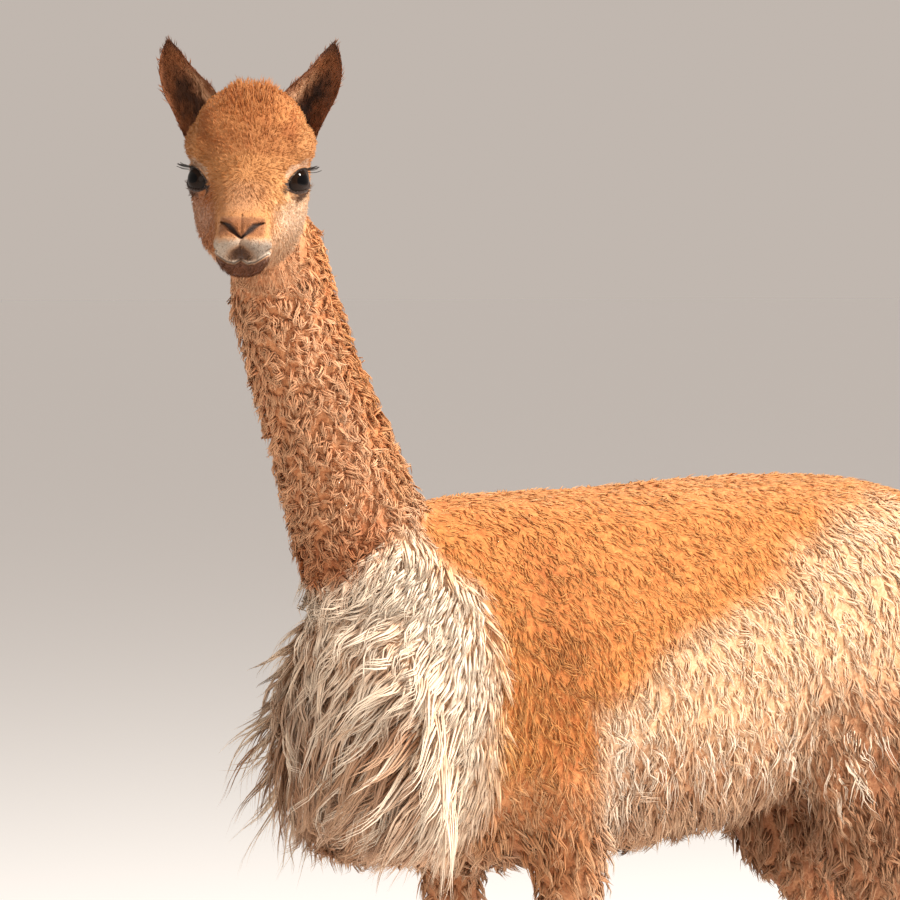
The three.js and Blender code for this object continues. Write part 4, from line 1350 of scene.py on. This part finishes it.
earSet = {
    "spacing": 0.0040, "blades": 2, "steps": 2, "length": 0.0085, "uneven": 0.3, "width": 0.0011,
    "spread": 0.002, "gather": 0.2, "rise": 18, "settle": 6, "hang": 0.0, "waves": 0.4, "curl": 0.0004,
    "stray": 0.3, "own": 0.0006, "twist": 0.4, "taper": 1.6, "thick": 0.5, "sink": 0.0004,
}


def earLie(p, n):
    upward = headMatrix[:3, 2] + 0.25 * np.sign(toHead(p)[:, :1]) * headMatrix[:3, 0]
    return alongSkin(upward, n)


coatPiece("earHair", (triPart >= 3).astype(float), earSet, faceMat, lieOf=earLie, seed=81)
print("coat in all:", sum(coatSpent.values()), "triangles")

# Eyes

def eyeMaterial():
    mat = bpy.data.materials.new("eyeball")
    tree, shader, add = nodeTools(mat)
    # pupil, iris and dark outer ring, by the distance from the middle
    ring = attribute(add, "ring")
    flecks = noise(add, objectPlace(add), 700.0, 2.0)
    iris = blended(add, screenColour((20, 12, 8)), screenColour((40, 24, 14)), flecks)
    colour = blended(add, screenColour((7, 6, 7)), iris, scaled(add, ring, 0.34, 0.44, 0, 1))
    colour = blended(add, colour, screenColour((9, 6, 5)), scaled(add, ring, 0.74, 0.86, 0, 1))
    tree.links.new(colour, shader.inputs["Base Color"])
    shader.inputs["Roughness"].default_value = 0.08
    shader.inputs["Specular IOR Level"].default_value = 0.14
    shader.inputs["Coat Weight"].default_value = 0.05
    shader.inputs["Coat Roughness"].default_value = 0.02
    shader.inputs["IOR"].default_value = 1.38
    return mat


ballSet = {"rows": 46, "sides": 64, "cornea": 0.045, "corneaReach": 0.32, "gap": 0.25}
eyeMat = eyeMaterial()
ball, ballTris = ellipsoid((0, 0, 0), (1, 1, 1), rows=ballSet["rows"], sides=ballSet["sides"])
cornea = 1 + ballSet["cornea"] * bell(ball[:, 2], 1, ballSet["corneaReach"])
shell = ball * cornea[:, None] * (eyeSet["radius"] - ballSet["gap"])
fromMiddle = np.where(ball[:, 2] > 0, np.hypot(ball[:, 0], ball[:, 1]), 1.0)
# the pupil is a flat oval
ring = np.where(fromMiddle < 0.5, np.hypot(ball[:, 0] * 0.72, ball[:, 1] * 1.35), fromMiddle)
for sideName, sign in (("left", 1), ("right", -1)):
    face, nasal, top = eyeAxes(sign)
    verts = fromHead(shell @ np.stack([nasal, top, face]) + np.array(eyeSet["place"]) * [sign, 1, 1])
    eye = meshPiece("eyeball" + sideName.title(), verts, tris=facingOut(verts, ballTris))
    setAttribute(eye, "ring", ring)
    eye.data.materials.append(eyeMat)
    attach(eye, "root")
    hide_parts("eye_" + sideName)

# Nails

def nailMaterial():
    mat = bpy.data.materials.new("nailHorn")
    tree, shader, add = nodeTools(mat)
    place = objectPlace(add)
    grain = noise(add, stretched(add, place, (1, 0.16, 1)), 700.0, 3.0)
    wear = noise(add, place, 90.0, 3.0)
    colour = blended(add, screenColour((52, 42, 36)), screenColour((92, 78, 66)), grain)
    colour = blended(add, colour, screenColour((128, 108, 88)), scaled(add, wear, 0.55, 0.8, 0, 0.5))
    tree.links.new(colour, shader.inputs["Base Color"])
    tree.links.new(scaled(add, wear, 0.3, 0.7, 0.35, 0.55), shader.inputs["Roughness"])
    tree.links.new(relief(add, grain, 0.35, 0.0006), shader.inputs["Normal"])
    return mat


nailSet = {"voxel": 1.5 * mm, "relax": 6}
nailNodes = [n for n in sorted(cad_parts) if n.startswith("nail")]
nailVerts, nailQuads = remeshed(*combined([nodeArrays(n) for n in nailNodes]), nailSet["voxel"])
nailVerts = relaxed(nailVerts, edgesOf(nailQuads), nailSet["relax"])
nails = meshPiece("nails", nailVerts, tris=halves(nailQuads))
nails.data.materials.append(nailMaterial())
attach(nails, "root")
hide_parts(*nailNodes)
print("nails:", len(nailQuads) * 2, "triangles")

# Lashes, set on points by Geometry Nodes

lashSet = {
    "radius": 0.00027, "sides": 5, "count": 22, "length": 0.0125, "turns": (16, -58), "stray": 1.2,
    "overLid": (2.5, 0.3),   # degrees above the opening, millimetres before the lid
}


def hairTree(name, material):
    tree = bpy.data.node_groups.new(name, "GeometryNodeTree")
    face = tree.interface
    face.new_socket("Geometry", in_out="INPUT", socket_type="NodeSocketGeometry")
    face.new_socket("Geometry", in_out="OUTPUT", socket_type="NodeSocketGeometry")
    sockets = {}
    for label, kind in (("Hair radius", "NodeSocketFloat"), ("Sides", "NodeSocketInt")):
        sockets[label] = face.new_socket(label, in_out="INPUT", socket_type=kind).identifier

    def add(kind, **inputs):
        node = tree.nodes.new(kind)
        for key, value in inputs.items():
            node.inputs[key.replace("_", " ")].default_value = value
        return node

    link = tree.links.new
    enter, leave = add("NodeGroupInput"), add("NodeGroupOutput")
    # one hair: a thin bent cone of unit length that rises along Z and leans to X
    line = add(
        "GeometryNodeCurvePrimitiveBezierSegment", Resolution=6, Start=(0, 0, 0), Start_Handle=(0, 0, 0.4),
        End_Handle=(0.10, 0, 0.75), End=(0.30, 0, 1.0))
    share = add("GeometryNodeSplineParameter")
    thin = add("ShaderNodeMapRange", To_Min=1.0, To_Max=0.12)
    radius = add("GeometryNodeSetCurveRadius")
    section = add("GeometryNodeCurvePrimitiveCircle")
    solid = add("GeometryNodeCurveToMesh", Fill_Caps=True)
    link(share.outputs["Factor"], thin.inputs["Value"])
    link(line.outputs["Curve"], radius.inputs["Curve"])
    link(thin.outputs["Result"], radius.inputs["Radius"])
    link(enter.outputs["Sides"], section.inputs["Resolution"])
    link(enter.outputs["Hair radius"], section.inputs["Radius"])
    link(radius.outputs["Curve"], solid.inputs["Curve"])
    link(section.outputs["Curve"], solid.inputs["Profile Curve"])
    # each point gets one, turned and scaled by the point's own values
    place = add("GeometryNodeInstanceOnPoints")
    link(enter.outputs["Geometry"], place.inputs["Points"])
    link(solid.outputs["Mesh"], place.inputs["Instance"])
    for label, target in (("turn", "Rotation"), ("size", "Scale")):
        own = add("GeometryNodeInputNamedAttribute", Name=label)
        own.data_type = "FLOAT_VECTOR"
        link(own.outputs["Attribute"], place.inputs[target])
    whole, finish = add("GeometryNodeRealizeInstances"), add("GeometryNodeSetMaterial", Material=material)
    link(place.outputs["Instances"], whole.inputs["Geometry"])
    link(whole.outputs["Geometry"], finish.inputs["Geometry"])
    link(finish.outputs["Geometry"], leave.inputs["Geometry"])
    return tree, sockets


def hairMaterial(name, rgb):
    mat = bpy.data.materials.new(name)
    tree, shader, add = nodeTools(mat)
    tint = noise(add, objectPlace(add), 300.0, 2.0)
    colour = blended(add, screenColour(rgb), screenColour([v * 0.6 for v in rgb]), tint)
    tree.links.new(colour, shader.inputs["Base Color"])
    shader.inputs["Roughness"].default_value = 0.45
    return mat


def plantedHairs(name, roots, ahead, bend, lengths, settings, material):
    # roots, directions and lengths in the model's frame; bend is the way that each tip leans.
    points = meshPiece(name + "Points", roots)
    turns = []
    for z, x in zip(ahead, bend):
        z = Vector(z).normalized()
        y = z.cross(Vector(x)).normalized()
        turns.append(Matrix((y.cross(z), y, z)).transposed().to_euler("XYZ")[:])
    for label, values in (("turn", turns), ("size", [(n, n, n) for n in lengths])):
        layer = points.data.attributes.new(label, "FLOAT_VECTOR", "POINT")
        layer.data.foreach_set("vector", np.array(values, np.float32).ravel())
    tree, sockets = hairTree(name + "Tree", material)
    grow = points.modifiers.new("grow", "NODES")
    grow.node_group = tree
    # the hair is scaled by its length, so its radius is given for one of unit length
    grow[sockets["Hair radius"]] = settings["radius"] / float(np.mean(lengths))
    grow[sockets["Sides"]] = settings["sides"]
    me = bpy.data.meshes.new_from_object(points.evaluated_get(bpy.context.evaluated_depsgraph_get()))
    points.modifiers.remove(grow)
    bpy.data.objects.remove(points)
    piece = bpy.data.objects.new(name, me)
    me.name = name
    bpy.context.scene.collection.objects.link(piece)
    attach(piece, "root")


lashRng = np.random.default_rng(91)
lashRoots, lashAhead, lashBend, lashLength = [], [], [], []
above, before = lashSet["overLid"]
for sign in (1, -1):
    face, nasal, top = eyeAxes(sign)
    for turn in np.linspace(*lashSet["turns"], lashSet["count"]):
        turn = turn + lashRng.normal(0, lashSet["stray"])
        wide = eyeSet["openNasal"] if turn > 0 else eyeSet["openRear"]
        rim = eyeSet["openUp"] * (1 - (abs(turn) / wide) ** 2) ** 0.5 - cornerDrop(turn)
        lift, turned = math.radians(rim + above), math.radians(turn)
        out = math.cos(lift) * (math.cos(turned) * face + math.sin(turned) * nasal) + math.sin(lift) * top
        far = eyeSet["radius"] + eyeSet["lid"] + before
        lashRoots.append(np.array(eyeSet["place"]) * [sign, 1, 1] + out * far)
        lean = 0.4 * out + np.array([0.95 * sign, -0.12, -0.40]) + lashRng.normal(0, 0.07, 3)
        lashAhead.append(unit(lean))
        lashBend.append(0.5 * top + 0.3 * out)
        lashLength.append(lashSet["length"] * (1 - 0.5 * smooth(-20, 16, turn)) * lashRng.uniform(0.8, 1.15))
spin = headMatrix[:3, :3].T
lashMat = hairMaterial("lashHair", (34, 24, 20))
plantedHairs(
    "lashes", fromHead(np.array(lashRoots)), np.array(lashAhead) @ spin, np.array(lashBend) @ spin,
    lashLength, lashSet, lashMat)

# Floor, light and camera

floorReach = 300
floorCorners = floorReach * np.array([[-1, -1, 0], [1, -1, 0], [1, 1, 0], [-1, 1, 0]], float)
floor = meshPiece("floor", floorCorners, quads=[[0, 1, 2, 3]], shade=False)
floorMat = bpy.data.materials.new("paleFloor")
_, floorShader, _ = nodeTools(floorMat)
floorShader.inputs["Base Color"].default_value = screenColour((254, 254, 254))
floorShader.inputs["Roughness"].default_value = 0.9
floor.data.materials.append(floorMat)
floor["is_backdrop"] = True


def areaLight(name, place, aim, size, power, colour=(1, 1, 1)):
    lamp = bpy.data.objects.new(name, bpy.data.lights.new(name, "AREA"))
    lamp.data.shape = "DISK"
    lamp.data.size = size
    lamp.data.energy = power
    lamp.data.color = colour
    lamp.location = place
    lamp.rotation_mode = "QUATERNION"
    lamp.rotation_quaternion = (Vector(aim) - Vector(place)).to_track_quat("-Z", "Y")
    bpy.context.scene.collection.objects.link(lamp)


areaLight("keyLight", (3.1, 1.75, 4.5), (0, -0.2, 0.8), 1.0, 545, (1, 0.96, 0.9))
areaLight("fillLight", (2.6, -4.2, 1.6), (0, -0.2, 0.8), 3.0, 36, (1, 0.93, 0.86))
world = bpy.data.worlds.new("world")
world.use_nodes = True
sky = world.node_tree.nodes["Background"]
sky.inputs["Color"].default_value = (0.95, 0.845, 0.765, 1)
sky.inputs["Strength"].default_value = 0.56
bpy.context.scene.world = world
bpy.context.scene.view_settings.view_transform = "Standard"

camSet = {
    "azimuth": 53.0, "elevation": 2.0, "distance": 5.0, "aim": (0, -0.1995, 0.896), "lens": 188, "sensor": 36,
}
cam = bpy.data.objects.new("camera", bpy.data.cameras.new("camera"))
azimuth, height = math.radians(camSet["azimuth"]), math.radians(camSet["elevation"])
back = Vector((math.sin(azimuth) * math.cos(height), -math.cos(azimuth) * math.cos(height), math.sin(height)))
cam.data.lens = camSet["lens"]
cam.data.sensor_width = camSet["sensor"]
cam.location = Vector(camSet["aim"]) + back * camSet["distance"]
cam.rotation_mode = "QUATERNION"
cam.rotation_quaternion = (-back).to_track_quat("-Z", "Y")
cam.data.clip_start, cam.data.clip_end = 0.1, 800
bpy.context.scene.collection.objects.link(cam)
bpy.context.scene.camera = cam

visualLow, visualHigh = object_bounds()
overLow = [round((a - b) / mm) for a, b in zip(cadLow, visualLow)]
overHigh = [round((a - b) / mm) for a, b in zip(visualHigh, cadHigh)]
print("size over the solids, mm:", overLow, overHigh)
